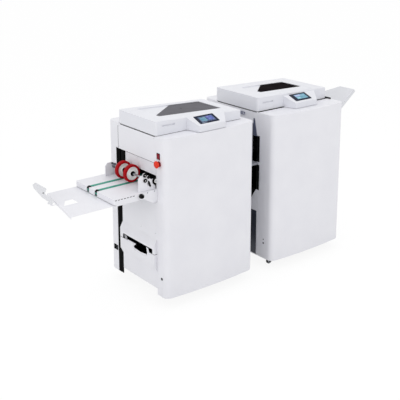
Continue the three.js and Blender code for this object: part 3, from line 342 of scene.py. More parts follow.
def zinc_plate():
    """Zinc-plated fasteners and stampings: bluish and slightly clouded."""
    material, tree, place = new_material("zinc_plated_steel")
    if tree is None:
        return material
    cloud = add_node(tree, "ShaderNodeTexNoise", None, {
        "Vector": place, "Scale": per_metre(5), "Detail": 4.0})
    tone = add_node(tree, "ShaderNodeValToRGB", None, {"Fac": cloud.outputs["Fac"]},
                    ((0.3, linear("#8E949C")), (0.7, linear("#B9BEC6"))))
    close_material(tree, add_node(tree, "ShaderNodeBsdfPrincipled", None, {
        "Base Color": tone.outputs["Color"], "Metallic": 1.0, "Roughness": 0.36}))
    return material


def moulded_nylon():
    """Glass-filled black nylon: matt, with the fibres' faint mottling drawn at 1.6 mm to show."""
    material, tree, place = new_material("moulded_nylon_black")
    if tree is None:
        return material
    fibre = add_node(tree, "ShaderNodeTexNoise", None, {
        "Vector": place, "Scale": per_metre(1.6), "Detail": 4.0, "Roughness": 0.7})
    tone = add_node(tree, "ShaderNodeValToRGB", None, {"Fac": fibre.outputs["Fac"]},
                    ((0.2, linear("#060607")), (0.8, linear("#111113"))))
    relief = add_node(tree, "ShaderNodeBump", None, {
        "Height": fibre.outputs["Fac"], "Distance": 0.05 * MM, "Strength": 0.5})
    close_material(tree, add_node(tree, "ShaderNodeBsdfPrincipled", None, {
        "Base Color": tone.outputs["Color"], "Roughness": 0.5, "Specular IOR Level": 0.12,
        "Normal": relief.outputs["Normal"]}))
    return material


def cast_polyurethane():
    """Cast red polyurethane: dense and slightly waxy, scuffed where it rolls."""
    material, tree, place = new_material("cast_polyurethane_red")
    if tree is None:
        return material
    wear = add_node(tree, "ShaderNodeTexNoise", None, {
        "Vector": place, "Scale": per_metre(9), "Detail": 4.0})
    tone = add_node(tree, "ShaderNodeValToRGB", None, {"Fac": wear.outputs["Fac"]},
                    ((0.3, mixed(colours().tyre, "#5E060D", 0.6)), (0.6, linear(colours().tyre))))
    fine = add_node(tree, "ShaderNodeTexNoise", None, {
        "Vector": place, "Scale": per_metre(0.8), "Detail": 2.0})
    relief = add_node(tree, "ShaderNodeBump", None, {
        "Height": fine.outputs["Fac"], "Distance": 0.04 * MM, "Strength": 0.5})
    close_material(tree, add_node(tree, "ShaderNodeBsdfPrincipled", None, {
        "Base Color": tone.outputs["Color"], "Roughness": 0.5, "Specular IOR Level": 0.1,
        "Normal": relief.outputs["Normal"]}))
    return material


def turned_acetal():
    """Turned white acetal: milky, with a cutter's fine grain."""
    material, tree, place = new_material("turned_acetal_white")
    if tree is None:
        return material
    fine = add_node(tree, "ShaderNodeTexNoise", None, {
        "Vector": place, "Scale": per_metre(0.7), "Detail": 2.0})
    cloud = add_node(tree, "ShaderNodeTexNoise", None, {
        "Vector": place, "Scale": per_metre(14), "Detail": 3.0})
    tone = add_node(tree, "ShaderNodeValToRGB", None, {"Fac": cloud.outputs["Fac"]},
                    ((0.3, linear("#F2F1EE")), (0.7, linear("#FCFBF9"))))
    relief = add_node(tree, "ShaderNodeBump", None, {
        "Height": fine.outputs["Fac"], "Distance": 0.03 * MM, "Strength": 0.4})
    close_material(tree, add_node(tree, "ShaderNodeBsdfPrincipled", None, {
        "Base Color": tone.outputs["Color"], "Roughness": 0.36, "Normal": relief.outputs["Normal"]}))
    return material


def coated_belt():
    """Green polyurethane on polyester fabric: the weave presses through as fine cross lines."""
    material, tree, place = new_material("polyurethane_coated_belt_green")
    if tree is None:
        return material
    weave = add_node(tree, "ShaderNodeTexWave", {"wave_type": "BANDS", "bands_direction": "X"}, {
        "Vector": place, "Scale": per_metre(3.0) / (2 * math.pi), "Distortion": 0.4})
    rub = add_node(tree, "ShaderNodeTexNoise", None, {
        "Vector": place, "Scale": per_metre(22), "Detail": 4.0})
    tone = add_node(tree, "ShaderNodeValToRGB", None, {"Fac": rub.outputs["Fac"]},
                    ((0.25, mixed(colours().belt, "#1B6F5E", 0.5)), (0.65, linear(colours().belt))))
    relief = add_node(tree, "ShaderNodeBump", None, {
        "Height": weave.outputs["Fac"], "Distance": 0.12 * MM, "Strength": 0.6})
    close_material(tree, add_node(tree, "ShaderNodeBsdfPrincipled", None, {
        "Base Color": tone.outputs["Color"], "Roughness": 0.55, "Normal": relief.outputs["Normal"]}))
    return material


def neoprene():
    """Moulded black neoprene: dull rubber, lightly dusted."""
    material, tree, place = new_material("moulded_neoprene_black")
    if tree is None:
        return material
    dust = add_node(tree, "ShaderNodeTexNoise", None, {
        "Vector": place, "Scale": per_metre(6), "Detail": 4.0})
    tone = add_node(tree, "ShaderNodeValToRGB", None, {"Fac": dust.outputs["Fac"]},
                    ((0.4, linear("#050506")), (0.8, linear("#0D0D0E"))))
    close_material(tree, add_node(tree, "ShaderNodeBsdfPrincipled", None, {
        "Base Color": tone.outputs["Color"], "Roughness": 0.75, "Specular IOR Level": 0.06}))
    return material


def castor_rubber():
    """Black castor tread: matt vulcanised rubber with a grey bloom."""
    material, tree, place = new_material("vulcanised_rubber_black")
    if tree is None:
        return material
    bloom = add_node(tree, "ShaderNodeTexNoise", None, {
        "Vector": place, "Scale": per_metre(4), "Detail": 5.0})
    tone = add_node(tree, "ShaderNodeValToRGB", None, {"Fac": bloom.outputs["Fac"]},
                    ((0.4, linear("#161617")), (0.9, linear("#333336"))))
    close_material(tree, add_node(tree, "ShaderNodeBsdfPrincipled", None, {
        "Base Color": tone.outputs["Color"], "Roughness": 0.65}))
    return material


def polished_abs(name, hex_text, deep):
    """Polished ABS, such as the stop button and the rocker: clear highlights on a deep colour."""
    material, tree, place = new_material(name)
    if tree is None:
        return material
    cloud = add_node(tree, "ShaderNodeTexNoise", None, {
        "Vector": place, "Scale": per_metre(6), "Detail": 2.0})
    tone = add_node(tree, "ShaderNodeValToRGB", None, {"Fac": cloud.outputs["Fac"]},
                    ((0.2, mixed(hex_text, deep, 0.4)), (0.6, linear(hex_text))))
    close_material(tree, add_node(tree, "ShaderNodeBsdfPrincipled", None, {
        "Base Color": tone.outputs["Color"], "Roughness": 0.34, "IOR": 1.53,
        "Specular IOR Level": 0.15}))
    return material


def red_button():
    """Bright orange red of the stop button."""
    return polished_abs("polished_abs_red", colours().button, "#8E150C")


def red_rocker():
    """Dark crimson of the rocker switch and the stop button's collar."""
    return polished_abs("polished_abs_crimson", colours().rocker, "#5A0716")


def smoked_acrylic(machine):
    """Cast smoked acrylic: dark, with an uneven mottle in its colour that is painted reflection, under a
    hard coat that dims reflections.
    """
    tint = {"trimmer": colours().trimmer_window, "folder": colours().folder_window}[machine]
    material, tree, place = new_material(f"cast_smoked_acrylic_{machine}")
    if tree is None:
        return material
    haze = add_node(tree, "ShaderNodeTexNoise", None, {
        "Vector": place, "Scale": per_metre(55), "Detail": 4.0})
    # The lighter and darker patches of this colour are painted reflection.
    tone = add_node(tree, "ShaderNodeValToRGB", None, {"Fac": haze.outputs["Fac"]},
                    ((0.3, mixed(tint, "#0E0D10", 0.5)), (0.65, linear(tint))))
    gloss = add_node(tree, "ShaderNodeMapRange", None, {
        "Value": haze.outputs["Fac"], "To Min": 0.2, "To Max": 0.4})
    close_material(tree, add_node(tree, "ShaderNodeBsdfPrincipled", None, {
        "Base Color": tone.outputs["Color"], "Roughness": gloss.outputs["Result"], "IOR": 1.49,
        "Specular IOR Level": {"trimmer": 0.03, "folder": 0.0}[machine]}))
    return material


def bezel_glass():
    """Cover glass over a dark blue printed rim: a polished face with a flat deep colour under it."""
    material, tree, place = new_material("back_printed_glass_blue")
    if tree is None:
        return material
    haze = add_node(tree, "ShaderNodeTexNoise", None, {
        "Vector": place, "Scale": per_metre(30), "Detail": 2.0})
    tone = add_node(tree, "ShaderNodeValToRGB", None, {"Fac": haze.outputs["Fac"]},
                    ((0.3, mixed(colours().bezel, "#080C18", 0.5)), (0.7, linear(colours().bezel))))
    close_material(tree, add_node(tree, "ShaderNodeBsdfPrincipled", None, {
        "Base Color": tone.outputs["Color"], "Roughness": 0.2, "Specular IOR Level": 0.08}))
    return material


DISPLAY_GLOW = 0.12


def lit_panel(name, hex_text):
    """A lit field of the display under its glass: flat colour with a weak glow of its own."""
    material, tree, place = new_material(name)
    if tree is None:
        return material
    cells = add_node(tree, "ShaderNodeTexNoise", None, {
        "Vector": place, "Scale": per_metre(8), "Detail": 1.0})
    tone = add_node(tree, "ShaderNodeValToRGB", None, {"Fac": cells.outputs["Fac"]},
                    ((0.3, mixed(hex_text, "#FFFFFF", 0.15)), (0.7, linear(hex_text))))
    close_material(tree, add_node(tree, "ShaderNodeBsdfPrincipled", None, {
        "Base Color": tone.outputs["Color"], "Roughness": 0.25, "Specular IOR Level": 0.12,
        "Emission Color": linear(hex_text), "Emission Strength": DISPLAY_GLOW}))
    return material


SLOT_FINISH = {
    "white_paint": white_powder_coat,
    "white_moulding": abs_moulding,
    "grey_paint": grey_powder_coat,
    "frame_steel": black_enamel,
    "steel": ground_steel,
    "black_plastic": moulded_nylon,
    "screen": bezel_glass,
    "red_rubber": cast_polyurethane,
    "white_plastic": turned_acetal,
    "green_belt": coated_belt,
    "red_plastic": red_button,
    "castor_tyre": castor_rubber,
}


# Meshes
# Points nearer than this are one point, and faces within this angle of each other are one flat face
WELD = 0.01 * MM
FLAT_ANGLE = math.radians(1)
# Edges sharper than this stay sharp under smooth shading
SHARP_ANGLE = math.radians(40)
# An inner face of a cover looks at the cover's middle from at least this far
INNER_REACH = 20 * MM


def shade(piece):
    """Smooth shading that keeps the large faces flat."""
    piece.data.polygons.foreach_set("use_smooth", [True] * len(piece.data.polygons))
    weights = piece.modifiers.new("flat_faces", "WEIGHTED_NORMAL")
    weights.mode = "FACE_AREA_WITH_ANGLE"
    weights.weight = 100


def apply_modifiers(piece):
    """Puts what the modifiers make of a piece in place of its mesh."""
    depsgraph = bpy.context.evaluated_depsgraph_get()
    shaped = bpy.data.meshes.new_from_object(piece.evaluated_get(depsgraph))
    old = piece.data
    piece.modifiers.clear()
    piece.data = shaped
    bpy.data.meshes.remove(old)
    shaped.name = piece.name


def soften(piece, width, segments, angle):
    """Rounds a piece's edges that are sharper than an angle in degrees."""
    rounding = piece.modifiers.new("rounding", "BEVEL")
    rounding.width = width
    rounding.segments = segments
    rounding.limit_method = "ANGLE"
    rounding.angle_limit = math.radians(angle)
    rounding.use_clamp_overlap = True
    shade(piece)
    apply_modifiers(piece)


def new_piece(name, mesh, body, materials):
    """Makes an object from a mesh that has no materials yet, on its body and with its materials."""
    piece = bpy.data.objects.new(name, mesh)
    bpy.context.scene.collection.objects.link(piece)
    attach(piece, body)
    for material in materials:
        piece.data.materials.append(material)
    return piece


def place_piece(name, fill, body, material):
    """Makes a piece from a function that fills a bmesh."""
    mesh = bpy.data.meshes.new(name)
    made = bmesh.new()
    fill(made)
    bmesh.ops.recalc_face_normals(made, faces=made.faces)
    made.to_mesh(mesh)
    made.free()
    piece = new_piece(name, mesh, body, [material])
    mesh.polygons.foreach_set("use_smooth", [True] * len(mesh.polygons))
    mesh.set_sharp_from_angle(angle=SHARP_ANGLE)
    return piece


def beyond_end(place):
    """Picks the faces on the far side of a plane across the feed line."""
    def cut(made):
        geom = made.verts[:] + made.edges[:] + made.faces[:]
        bmesh.ops.bisect_plane(made, geom=geom, dist=1e-6, plane_co=(place, 0, 0), plane_no=(1, 0, 0))
        return [face for face in made.faces if face.calc_center_median().x > place]
    return cut


def inward(node):
    """Picks the faces on the inside of a cover."""
    def cut(made):
        heart = middle(node)
        return [face for face in made.faces
                if face.normal.dot(heart - face.calc_center_median()) > INNER_REACH]
    return cut


def dress_node(node, width, segments=2, material=None, angle=32, pick=None, inner=None):
    """Stands a finely rounded copy in for a node of the frame; the faces that pick finds get inner."""
    mesh = NODES[node].data.copy()
    mesh.materials.clear()
    made = bmesh.new()
    made.from_mesh(mesh)
    bmesh.ops.remove_doubles(made, verts=made.verts, dist=WELD)
    bmesh.ops.dissolve_limit(made, angle_limit=FLAT_ANGLE, verts=made.verts, edges=made.edges)
    picked = pick(made) if pick else []
    for face in made.faces:
        face.material_index = 0
    for face in picked:
        face.material_index = 1
    made.to_mesh(mesh)
    made.free()
    mesh.name = node + "_finish"
    slot = SLOT_OF_NODE[node]
    materials = [material or SLOT_FINISH[slot]()] + ([inner] if pick else [])
    piece = new_piece(mesh.name, mesh, BODY_OF_NODE[node], materials)
    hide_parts(node)
    soften(piece, width, segments, angle)


AXES = {"x": Vector((1, 0, 0)), "y": Vector((0, 1, 0)), "z": Vector((0, 0, 1))}


def direction(axis):
    """A unit vector, from an axis' letter or from any vector."""
    return AXES[axis] if isinstance(axis, str) else Vector(axis).normalized()


def turned(profile, axis, centre, sides=40):
    """Fills a turned piece from (radius, along) points in millimetres, one end of the axis to the other."""
    turn = direction(axis)
    across = turn.orthogonal().normalized()
    up = turn.cross(across)

    def fill(made):
        rings = []
        for radius, along in profile:
            base = Vector(centre) + turn * along * MM
            if radius <= 0:
                rings.append([made.verts.new(base)])
                continue
            ring = []
            for i in range(sides):
                angle = 2 * math.pi * i / sides
                ring.append(made.verts.new(
                    base + (across * math.cos(angle) + up * math.sin(angle)) * radius * MM))
            rings.append(ring)
        for first, last in zip(rings, rings[1:]):
            for i in range(sides):
                corners = [first[i % len(first)], first[(i + 1) % len(first)],
                           last[(i + 1) % len(last)], last[i % len(last)]]
                corners = list(dict.fromkeys(corners))
                if len(corners) > 2:
                    made.faces.new(corners)
        if profile[0] == profile[-1]:
            bmesh.ops.remove_doubles(made, verts=made.verts, dist=1e-7)
    return fill


def ring_profile(inner, outer, start, end, edge=0.4):
    """A closed ring's section with chamfered outer edges, for turned()."""
    return [(inner, start), (outer - edge, start), (outer, start + edge), (outer, end - edge),
            (outer - edge, end), (inner, end), (inner, start)]


def disc_profile(radius, start, end, edge=0.5):
    """A solid disc's or rod's section with chamfered ends, for turned()."""
    return [(0, start), (radius - edge, start), (radius, start + edge), (radius, end - edge),
            (radius - edge, end), (0, end)]


def slab(corner, opposite, edge=0.4):
    """Fills a block between two corners, with its edges bevelled."""
    def fill(made):
        a, b = Vector(corner), Vector(opposite)
        size = [abs(value) for value in b - a] + [1]
        bmesh.ops.create_cube(
            made, size=1.0, matrix=Matrix.Translation((a + b) / 2) @ Matrix.Diagonal(size))
        bmesh.ops.bevel(
            made, geom=list(made.edges), offset=edge * MM, segments=2, affect="EDGES", profile=0.5)
    return fill


def plate(outline, origin, u, v, depth, edge=0.0):
    """Fills a plate: an outline in millimetres in the plane of u and v, thickened along their normal."""
    u, v = direction(u), direction(v)
    n = u.cross(v)

    def fill(made):
        base = [made.verts.new(Vector(origin) + (u * a + v * b) * MM) for a, b in outline]
        top = [made.verts.new(vert.co + n * depth * MM) for vert in base]
        made.faces.new(base)
        cap = made.faces.new(top)
        count = len(base)
        for i in range(count):
            made.faces.new([base[i], base[(i + 1) % count], top[(i + 1) % count], top[i]])
        if edge:
            bmesh.ops.bevel(
                made, geom=list(cap.edges), offset=edge * MM, segments=2, affect="EDGES", profile=0.5)
    return fill


def frame_plate(outline, hole, origin, u, v, depth):
    """Fills a plate with one hole; outline and hole have the same number of points."""
    u, v = direction(u), direction(v)
    n = u.cross(v)

    def fill(made):
        loops = []
        for points, lift in ((outline, 0), (outline, depth), (hole, depth), (hole, 0)):
            loops.append([
                made.verts.new(Vector(origin) + (u * a + v * b) * MM + n * lift * MM) for a, b in points])
        count = len(outline)
        for first, last in zip(loops, loops[1:] + loops[:1]):
            for i in range(count):
                made.faces.new([first[i], first[(i + 1) % count], last[(i + 1) % count], last[i]])
    return fill


def rounded(x0, x1, y0, y1, radius, steps=5):
    """A rectangle with round corners."""
    points = []
    for turn, (cx, cy) in enumerate(((x1 - radius, y1 - radius), (x0 + radius, y1 - radius),
                                     (x0 + radius, y0 + radius), (x1 - radius, y0 + radius))):
        for i in range(steps + 1):
            angle = math.radians(90 * turn + 90 * i / steps)
            points.append((cx + radius * math.cos(angle), cy + radius * math.sin(angle)))
    return points


def lobed(radius, depth, lobes, steps=6):
    """The outline of a fluted grip."""
    outline = []
    for i in range(lobes * steps):
        reach = radius - depth * (0.5 - 0.5 * math.cos(2 * math.pi * i / steps))
        angle = 2 * math.pi * i / (lobes * steps)
        outline.append((reach * math.cos(angle), reach * math.sin(angle)))
    return outline


def arc_band(inner, outer, start, end, steps=18):
    """The outline of a band round the origin, between two angles in degrees."""
    turns = [math.radians(start + (end - start) * i / steps) for i in range(steps + 1)]
    return ([(outer * math.cos(a), outer * math.sin(a)) for a in turns]
            + [(inner * math.cos(a), inner * math.sin(a)) for a in reversed(turns)])


# A screw head's height and its recess' arms, as shares of the head's radius
HEAD_HEIGHT = 0.45
RECESS_REACH = 0.5
RECESS_HALF = 0.11
# How far a head sits into what it holds, in millimetres
HEAD_SINK = 0.2


def screw(name, place, axis, body, material=None, radius=None):
    """A pan-head screw with a cross recess; axis points out of the panel."""
    head = (radius or sizes().screw_radius) / MM
    tall = head * HEAD_HEIGHT
    profile = [(0, -HEAD_SINK), (head, -HEAD_SINK), (head, tall * 0.35), (head * 0.82, tall * 0.8),
               (head * 0.5, tall), (0, tall)]
    place_piece(name, turned(profile, axis, place, 20), body, material or zinc_plate())
    turn = direction(axis)
    arm = turn.orthogonal().normalized()
    side = turn.cross(arm)
    long, short = head * RECESS_REACH, head * RECESS_HALF
    cross = [(long, -short), (long, short), (short, short), (short, long), (-short, long), (-short, short),
             (-long, short), (-long, -short), (-short, -short), (-short, -long), (short, -long),
             (short, -short)]
    place_piece(name + "_recess",
                plate(cross, Vector(place) + turn * tall * 0.95 * MM, arm, side, tall * 0.08),
                body, moulded_nylon())


# Operators
class LineOperator:
    """What all the steps share."""
    bl_options = {"REGISTER", "UNDO"}


# The camera as fitted to the photograph's edges; its centre row lies off the frame's middle
CAMERA_PLACE = (-2.94557, -3.63450, 2.17600)
CAMERA_AZIMUTH = math.radians(-38.51)
CAMERA_DOWN = math.radians(13.18)
CAMERA_FAR = 40
FOCAL_PIXELS = 787.5
FRAME_PIXELS = 400
PRINCIPAL_ROW = 100
SENSOR_MM = 36


def build_camera():
    """The camera at the photograph's place, angle and crop."""
    data = bpy.data.cameras.new("photo_camera")
    data.sensor_width = SENSOR_MM
    data.sensor_fit = "HORIZONTAL"
    data.lens = FOCAL_PIXELS / FRAME_PIXELS * SENSOR_MM
    data.shift_y = (PRINCIPAL_ROW - FRAME_PIXELS / 2) / FRAME_PIXELS
    data.clip_end = CAMERA_FAR
    camera = bpy.data.objects.new("photo_camera", data)
    camera.location = CAMERA_PLACE
    camera.rotation_euler = (math.radians(90) - CAMERA_DOWN, 0, CAMERA_AZIMUTH)
    bpy.context.scene.collection.objects.link(camera)
    bpy.context.scene.camera = camera


def seen_share(tree, share):
    """How far a backdrop is lifted to white: where a camera, glossy or transmission ray meets it."""
    path = add_node(tree, "ShaderNodeLightPath")
    glossy = add_node(tree, "ShaderNodeMath", {"operation": "MAXIMUM"}, {
        0: path.outputs["Is Camera Ray"], 1: path.outputs["Is Glossy Ray"]})
    either = add_node(tree, "ShaderNodeMath", {"operation": "MAXIMUM"}, {
        0: glossy.outputs["Value"], 1: path.outputs["Is Transmission Ray"]})
    return add_node(tree, "ShaderNodeMath", {"operation": "MULTIPLY"}, {
        0: either.outputs["Value"], 1: share})


FLOOR_HALF = 30
FLOOR_DROP = 0.5 * MM
# The paper's own grey, its white as seen, and how far what is seen is lifted from one to the other
PAPER_GREY = 0.9
PAPER_WHITE = 1.03
FLOOR_WHITE = 0.88


def build_floor():
    """A sheet of studio paper that keeps the shadow and is lifted almost to white where it is seen."""
    half = FLOOR_HALF
    mesh = bpy.data.meshes.new("studio_floor")
    mesh.from_pydata([(-half, -half, 0), (half, -half, 0), (half, half, 0), (-half, half, 0)], [],
                     [(0, 1, 2, 3)])
    floor = bpy.data.objects.new("studio_floor", mesh)
    bpy.context.scene.collection.objects.link(floor)
    floor.location.z = -FLOOR_DROP
    material, tree, _ = new_material("studio_paper")
    paper = add_node(tree, "ShaderNodeBsdfDiffuse", None, {
        "Color": (PAPER_GREY, PAPER_GREY, PAPER_GREY, 1)})
    white = add_node(tree, "ShaderNodeEmission", None, {
        "Color": (1, 1, 1, 1), "Strength": PAPER_WHITE})
    share = seen_share(tree, FLOOR_WHITE)
    close_material(tree, add_node(tree, "ShaderNodeMixShader", None, {
        0: share.outputs["Value"], 1: paper.outputs["BSDF"], 2: white.outputs["Emission"]}))
    mesh.materials.append(material)


def area_light(name, place, target, size, power):
    """A rectangular lamp at a place, turned to a target, with its size in metres and power in watts."""
    data = bpy.data.lights.new(name, "AREA")
    data.shape = "RECTANGLE"
    data.size, data.size_y = size
    data.energy = power
    light = bpy.data.objects.new(name, data)
    light.location = place
    light.rotation_euler = (Vector(target) - Vector(place)).to_track_quat("-Z", "Y").to_euler()
    bpy.context.scene.collection.objects.link(light)


AIR_LEVEL = 0.8


def build_lights():
    """Even air that is white where it is seen, and three softboxes."""
    scene = bpy.context.scene
    world = bpy.data.worlds.new("studio_air")
    world.use_nodes = True
    tree = world.node_tree
    tree.nodes.clear()
    share = seen_share(tree, 1.0)
    level = add_node(tree, "ShaderNodeMapRange", None, {
        "Value": share.outputs["Value"], "To Min": AIR_LEVEL, "To Max": 1.0})
    sky = add_node(tree, "ShaderNodeBackground", None, {
        "Color": (1, 1, 1, 1), "Strength": level.outputs["Result"]})
    output = add_node(tree, "ShaderNodeOutputWorld")
    tree.links.new(sky.outputs["Background"], output.inputs["Surface"])
    scene.world = world
    area_light("front_softbox", (1.2, -4.2, 3.2), (0.1, 0, 0.7), (3.0, 2.2), 32)
    area_light("left_softbox", (-4.0, -0.9, 1.8), (0, 0, 0.6), (2.2, 2.0), 22)
    area_light("top_softbox", (-0.2, 0.4, 4.2), (0, 0, 0.8), (3.4, 2.6), 22)
    scene.view_settings.view_transform = "Standard"


class BOOKLET_OT_stage(LineOperator, bpy.types.Operator):
    """Pale floor, soft studio light and the camera at the photograph's angle"""
    bl_idname = "booklet.stage"
    bl_label = "Stage, light and camera"

    def execute(self, context):
        build_camera()
        build_floor()
        build_lights()
        return {"FINISHED"}


class BOOKLET_OT_covers(LineOperator, bpy.types.Operator):
    """Covers with painted shade in black on their insides, end panels and base pans of both cabinets"""
    bl_idname = "booklet.covers"
    bl_label = "Covers and panels"

    def execute(self, context):
        edge = sizes().edge_round
        for node in ("trimmer_front_cover", "trimmer_back_cover", "folder_front_cover",
                     "folder_back_cover"):
            # The covers' inside faces get black: painted shade where the insides stand dark.
            dress_node(node, edge, 2, pick=inward(node), inner=foam_and_painted_shade())
        for node in ("trimmer_upper_end_panel", "trimmer_lower_end_panel", "trimmer_infeed_panel",
                     "folder_exit_panel", "folder_infeed_panel"):
            dress_node(node, edge * 0.7, 2)
        for node in ("trimmer_base_pan", "folder_base_pan"):
            dress_node(node, edge * 0.7, 1, black_enamel())
        # The bridge's mid grey is painted shade in the gap between the machines.
        dress_node("transfer_bridge", edge * 0.7, 1, painted_shade_mid_grey())
        build_cover_fittings()
        build_exit_fittings()
        return {"FINISHED"}


# (depth, height) of the end panels' screws, in millimetres
END_PANEL_SCREWS = ((207, 427), (64, 431), (64, 610), (390, 610))
GUARD_SCREWS = ((66, 985), (418, 985), (66, 862), (418, 862))
RIGHT_END_SCREWS = ((80, 960), (380, 960), (80, 520), (380, 520), (80, 120), (380, 120))
# How much further back the folder's right-end screws sit than the trimmer's
FOLDER_SCREW_SHIFT = 50
LOCK_PLACE = (0, 9, 171)
# Black strips and sheets at the left end's seams, painted shade where the gaps stand dark: two opposite
# corners and the bevel
SEAM_SHADE_STRIPS = {
    "gap_shade_strip": ((-0.8, 431, 61), (-0.1, 456, 847), 0.15),
    "gap_shade_strip_upper": ((-0.5, 432.2, 848), (-0.1, 434.4, 985), 0.1),
    "guard_shade_strip": ((8.3, 68, 839.5), (8.95, 373, 845), 0.2),
    "gap_shade_sheet_low": ((0.3, 404.3, 61), (1.8, 431.9, 626), 0.1),
    "gap_shade_sheet_front": ((3, 374.4, 703), (4.5, 412.2, 845), 0.1),
    "gap_shade_sheet_back": ((0.3, 418.4, 703), (1.8, 431.9, 845), 0.1),
}


def build_cover_fittings():
    """Screws in the end panels and the guard, the cover's lock and black strips of painted shade at the
    left end's seams.
    """
    coat = white_powder_coat()
    for kind, places in (("end_panel", END_PANEL_SCREWS), ("guard", GUARD_SCREWS)):
        for index, (y, z) in enumerate(places):
            screw(f"{kind}_screw_{index}", at(0, y, z), (-1, 0, 0), "frame", coat)
    for index, (y, z) in enumerate(RIGHT_END_SCREWS):
        screw(f"trimmer_right_screw_{index}", at(TRIMMER_RIGHT, y, z), "x", "frame", coat)
        screw(f"folder_right_screw_{index}", at(FOLDER_RIGHT, y + FOLDER_SCREW_SHIFT, z), "x", "frame",
              coat)
    build_cover_lock()
    # Black strips and sheets that paint the shade in the left end's gaps and under the upper panel's edge.
    for name, (corner, opposite, edge) in SEAM_SHADE_STRIPS.items():
        place_piece(name, slab(at(*corner), at(*opposite), edge), "frame", neoprene())


def build_cover_lock():
    """Round lock in the front cover's left face, with the flat of its steel core."""
    x, y, z = LOCK_PLACE
    rim = [(0, 0), (8, 0), (8, 1.2), (7, 2), (0, 2)]
    place_piece("cover_lock", turned(rim, (-1, 0, 0), at(x, y, z)), "frame",
                moulded_nylon())
    place_piece("cover_lock_key", slab(at(x - 2.3, y - 0.8, z - 4), at(x - 2, y + 0.8, z + 4), 0.1),
                "frame", zinc_plate())


# Outlines on the folder's left end, as (depth, height)
EXIT_SHADE_SHEET = [(113, 503), (165, 423), (498, 423), (498, 503)]
EXIT_SHADE_BAND = [(136, 955), (112, 846), (152, 846), (146, 955)]
# Slabs on the folder's left end: two opposite corners, with x from that end, and the bevel
EXIT_SLABS = {
    "exit_lower_shade_panel": ((-2, 107, 66), (-0.05, 508, 357), 0.6),
    "exit_edge_seal_low": ((-1.5, 88, 500), (-0.1, 112.5, 664), 0.3),
    "exit_edge_seal_high": ((-1.5, 88, 683), (-0.1, 112.5, 850), 0.3),
    "exit_upright": ((-6, 150, 681), (-0.1, 177, 922), 0.8),
}
# Plugs near the folder's lower left corner: height and radius, at one depth
COVER_PLUGS = {"upper": (187, 4), "lower": (162, 6)}
COVER_PLUG_DEPTH = 39


def place_exit_slab(name, material):
    """Makes one of the slabs on the folder's left end."""
    (x0, y0, z0), (x1, y1, z1), edge = EXIT_SLABS[name]
    place_piece(name, slab(at(FOLDER_LEFT + x0, y0, z0), at(FOLDER_LEFT + x1, y1, z1), edge), "frame",
                material)


def build_exit_fittings():
    """What shows between the machines: a black sheet, the lower panel and the upper band, all three painted
    shade; edge seals, upright and plugs.
    """
    # The black sheet carries the dark of the exit opening further down: painted shade.
    place_piece("exit_shade_sheet", plate(EXIT_SHADE_SHEET, at(FOLDER_LEFT - 1.2, 0, 0), "y", "z", 1.1), "frame",
                neoprene())
    # The lower panel's dark slate is painted shade.
    place_exit_slab("exit_lower_shade_panel", painted_shade_slate())
    # The band's dark blue grey is painted shade at the top of the gap.
    place_piece("exit_upper_shade_band", plate(EXIT_SHADE_BAND, at(FOLDER_LEFT - 1.6, 0, 0), "y", "z", 1.5),
                "frame", painted_shade_blue_grey())
    for part in ("low", "high"):
        place_exit_slab(f"exit_edge_seal_{part}", neoprene())
    # The upright's mid grey is painted shade.
    place_exit_slab("exit_upright", painted_shade_mid_grey())
    for name, (z, radius) in COVER_PLUGS.items():
        place = at(FOLDER_LEFT, COVER_PLUG_DEPTH, z)
        plug = turned(disc_profile(radius, 0, 1.4, 0.4), (-1, 0, 0), place, 24)
        place_piece(f"folder_cover_plug_{name}", plug, "frame", moulded_nylon())


class BOOKLET_OT_lids(LineOperator, bpy.types.Operator):
    """Moulded lids with their consoles, smoked windows, gaskets and touch screens"""
    bl_idname = "booklet.lids"
    bl_label = "Lids, windows and screens"

    def execute(self, context):
        for machine in ("trimmer", "folder"):
            dress_node(f"{machine}_lid", sizes().lid_round, 3, angle=28)
            dress_node(f"{machine}_lid_window", sizes().fine_round, 2, smoked_acrylic(machine))
            dress_node(f"{machine}_screen", sizes().fine_round * 2, 2)
            build_gasket(machine)
            build_display(machine)
        return {"FINISHED"}


# Each lid's plan: left, right, front and back
LID_PLANS = {"trimmer": (0, 622, 51, 425), "folder": (810, 1421, 113, 513)}
LID_CORNER = 14
GASKET_INSET = 1.0
GASKET_WIDTH = 4.5
GASKET_TOP = 2.0


def build_gasket(machine):
    """The foam strip that closes the gap between lid and covers, and a black strip of painted shade in the
    seam under the lid's left edge.
    """
    x0, x1, y0, y1 = LID_PLANS[machine]
    inset = GASKET_INSET
    outer = rounded(x0 + inset, x1 - inset, y0 + inset, y1 - inset, LID_CORNER - inset)
    inset += GASKET_WIDTH
    inner = rounded(x0 + inset, x1 - inset, y0 + inset, y1 - inset, LID_CORNER - inset)
    height = sizes().gasket_height / MM
    place_piece(f"{machine}_lid_gasket",
                frame_plate(outer, inner, at(0, 0, COVER_TOP + GASKET_TOP - height), "x", "y", height),
                f"{machine}_lid", foam_and_painted_shade())
    # A black strip of painted shade in the seam under the lid's left edge.
    place_piece(f"{machine}_end_shade_strip",
                slab(at(x0 - 0.5, y0 + 8, COVER_TOP - 4.5), at(x0 - 0.08, y1 - 18, COVER_TOP - 0.6), 0.1),
                "frame", neoprene())


SCREEN_SLOPE = math.radians(21)
SCREEN_HEIGHT = 76
# The field's lift off the glass and the blocks' lift off the field, their thickness and corner radius
FIELD_LIFT = 0.06
BLOCK_LIFT = 0.04
FIELD_THICKNESS = 0.02
FIELD_CORNER = 1.5
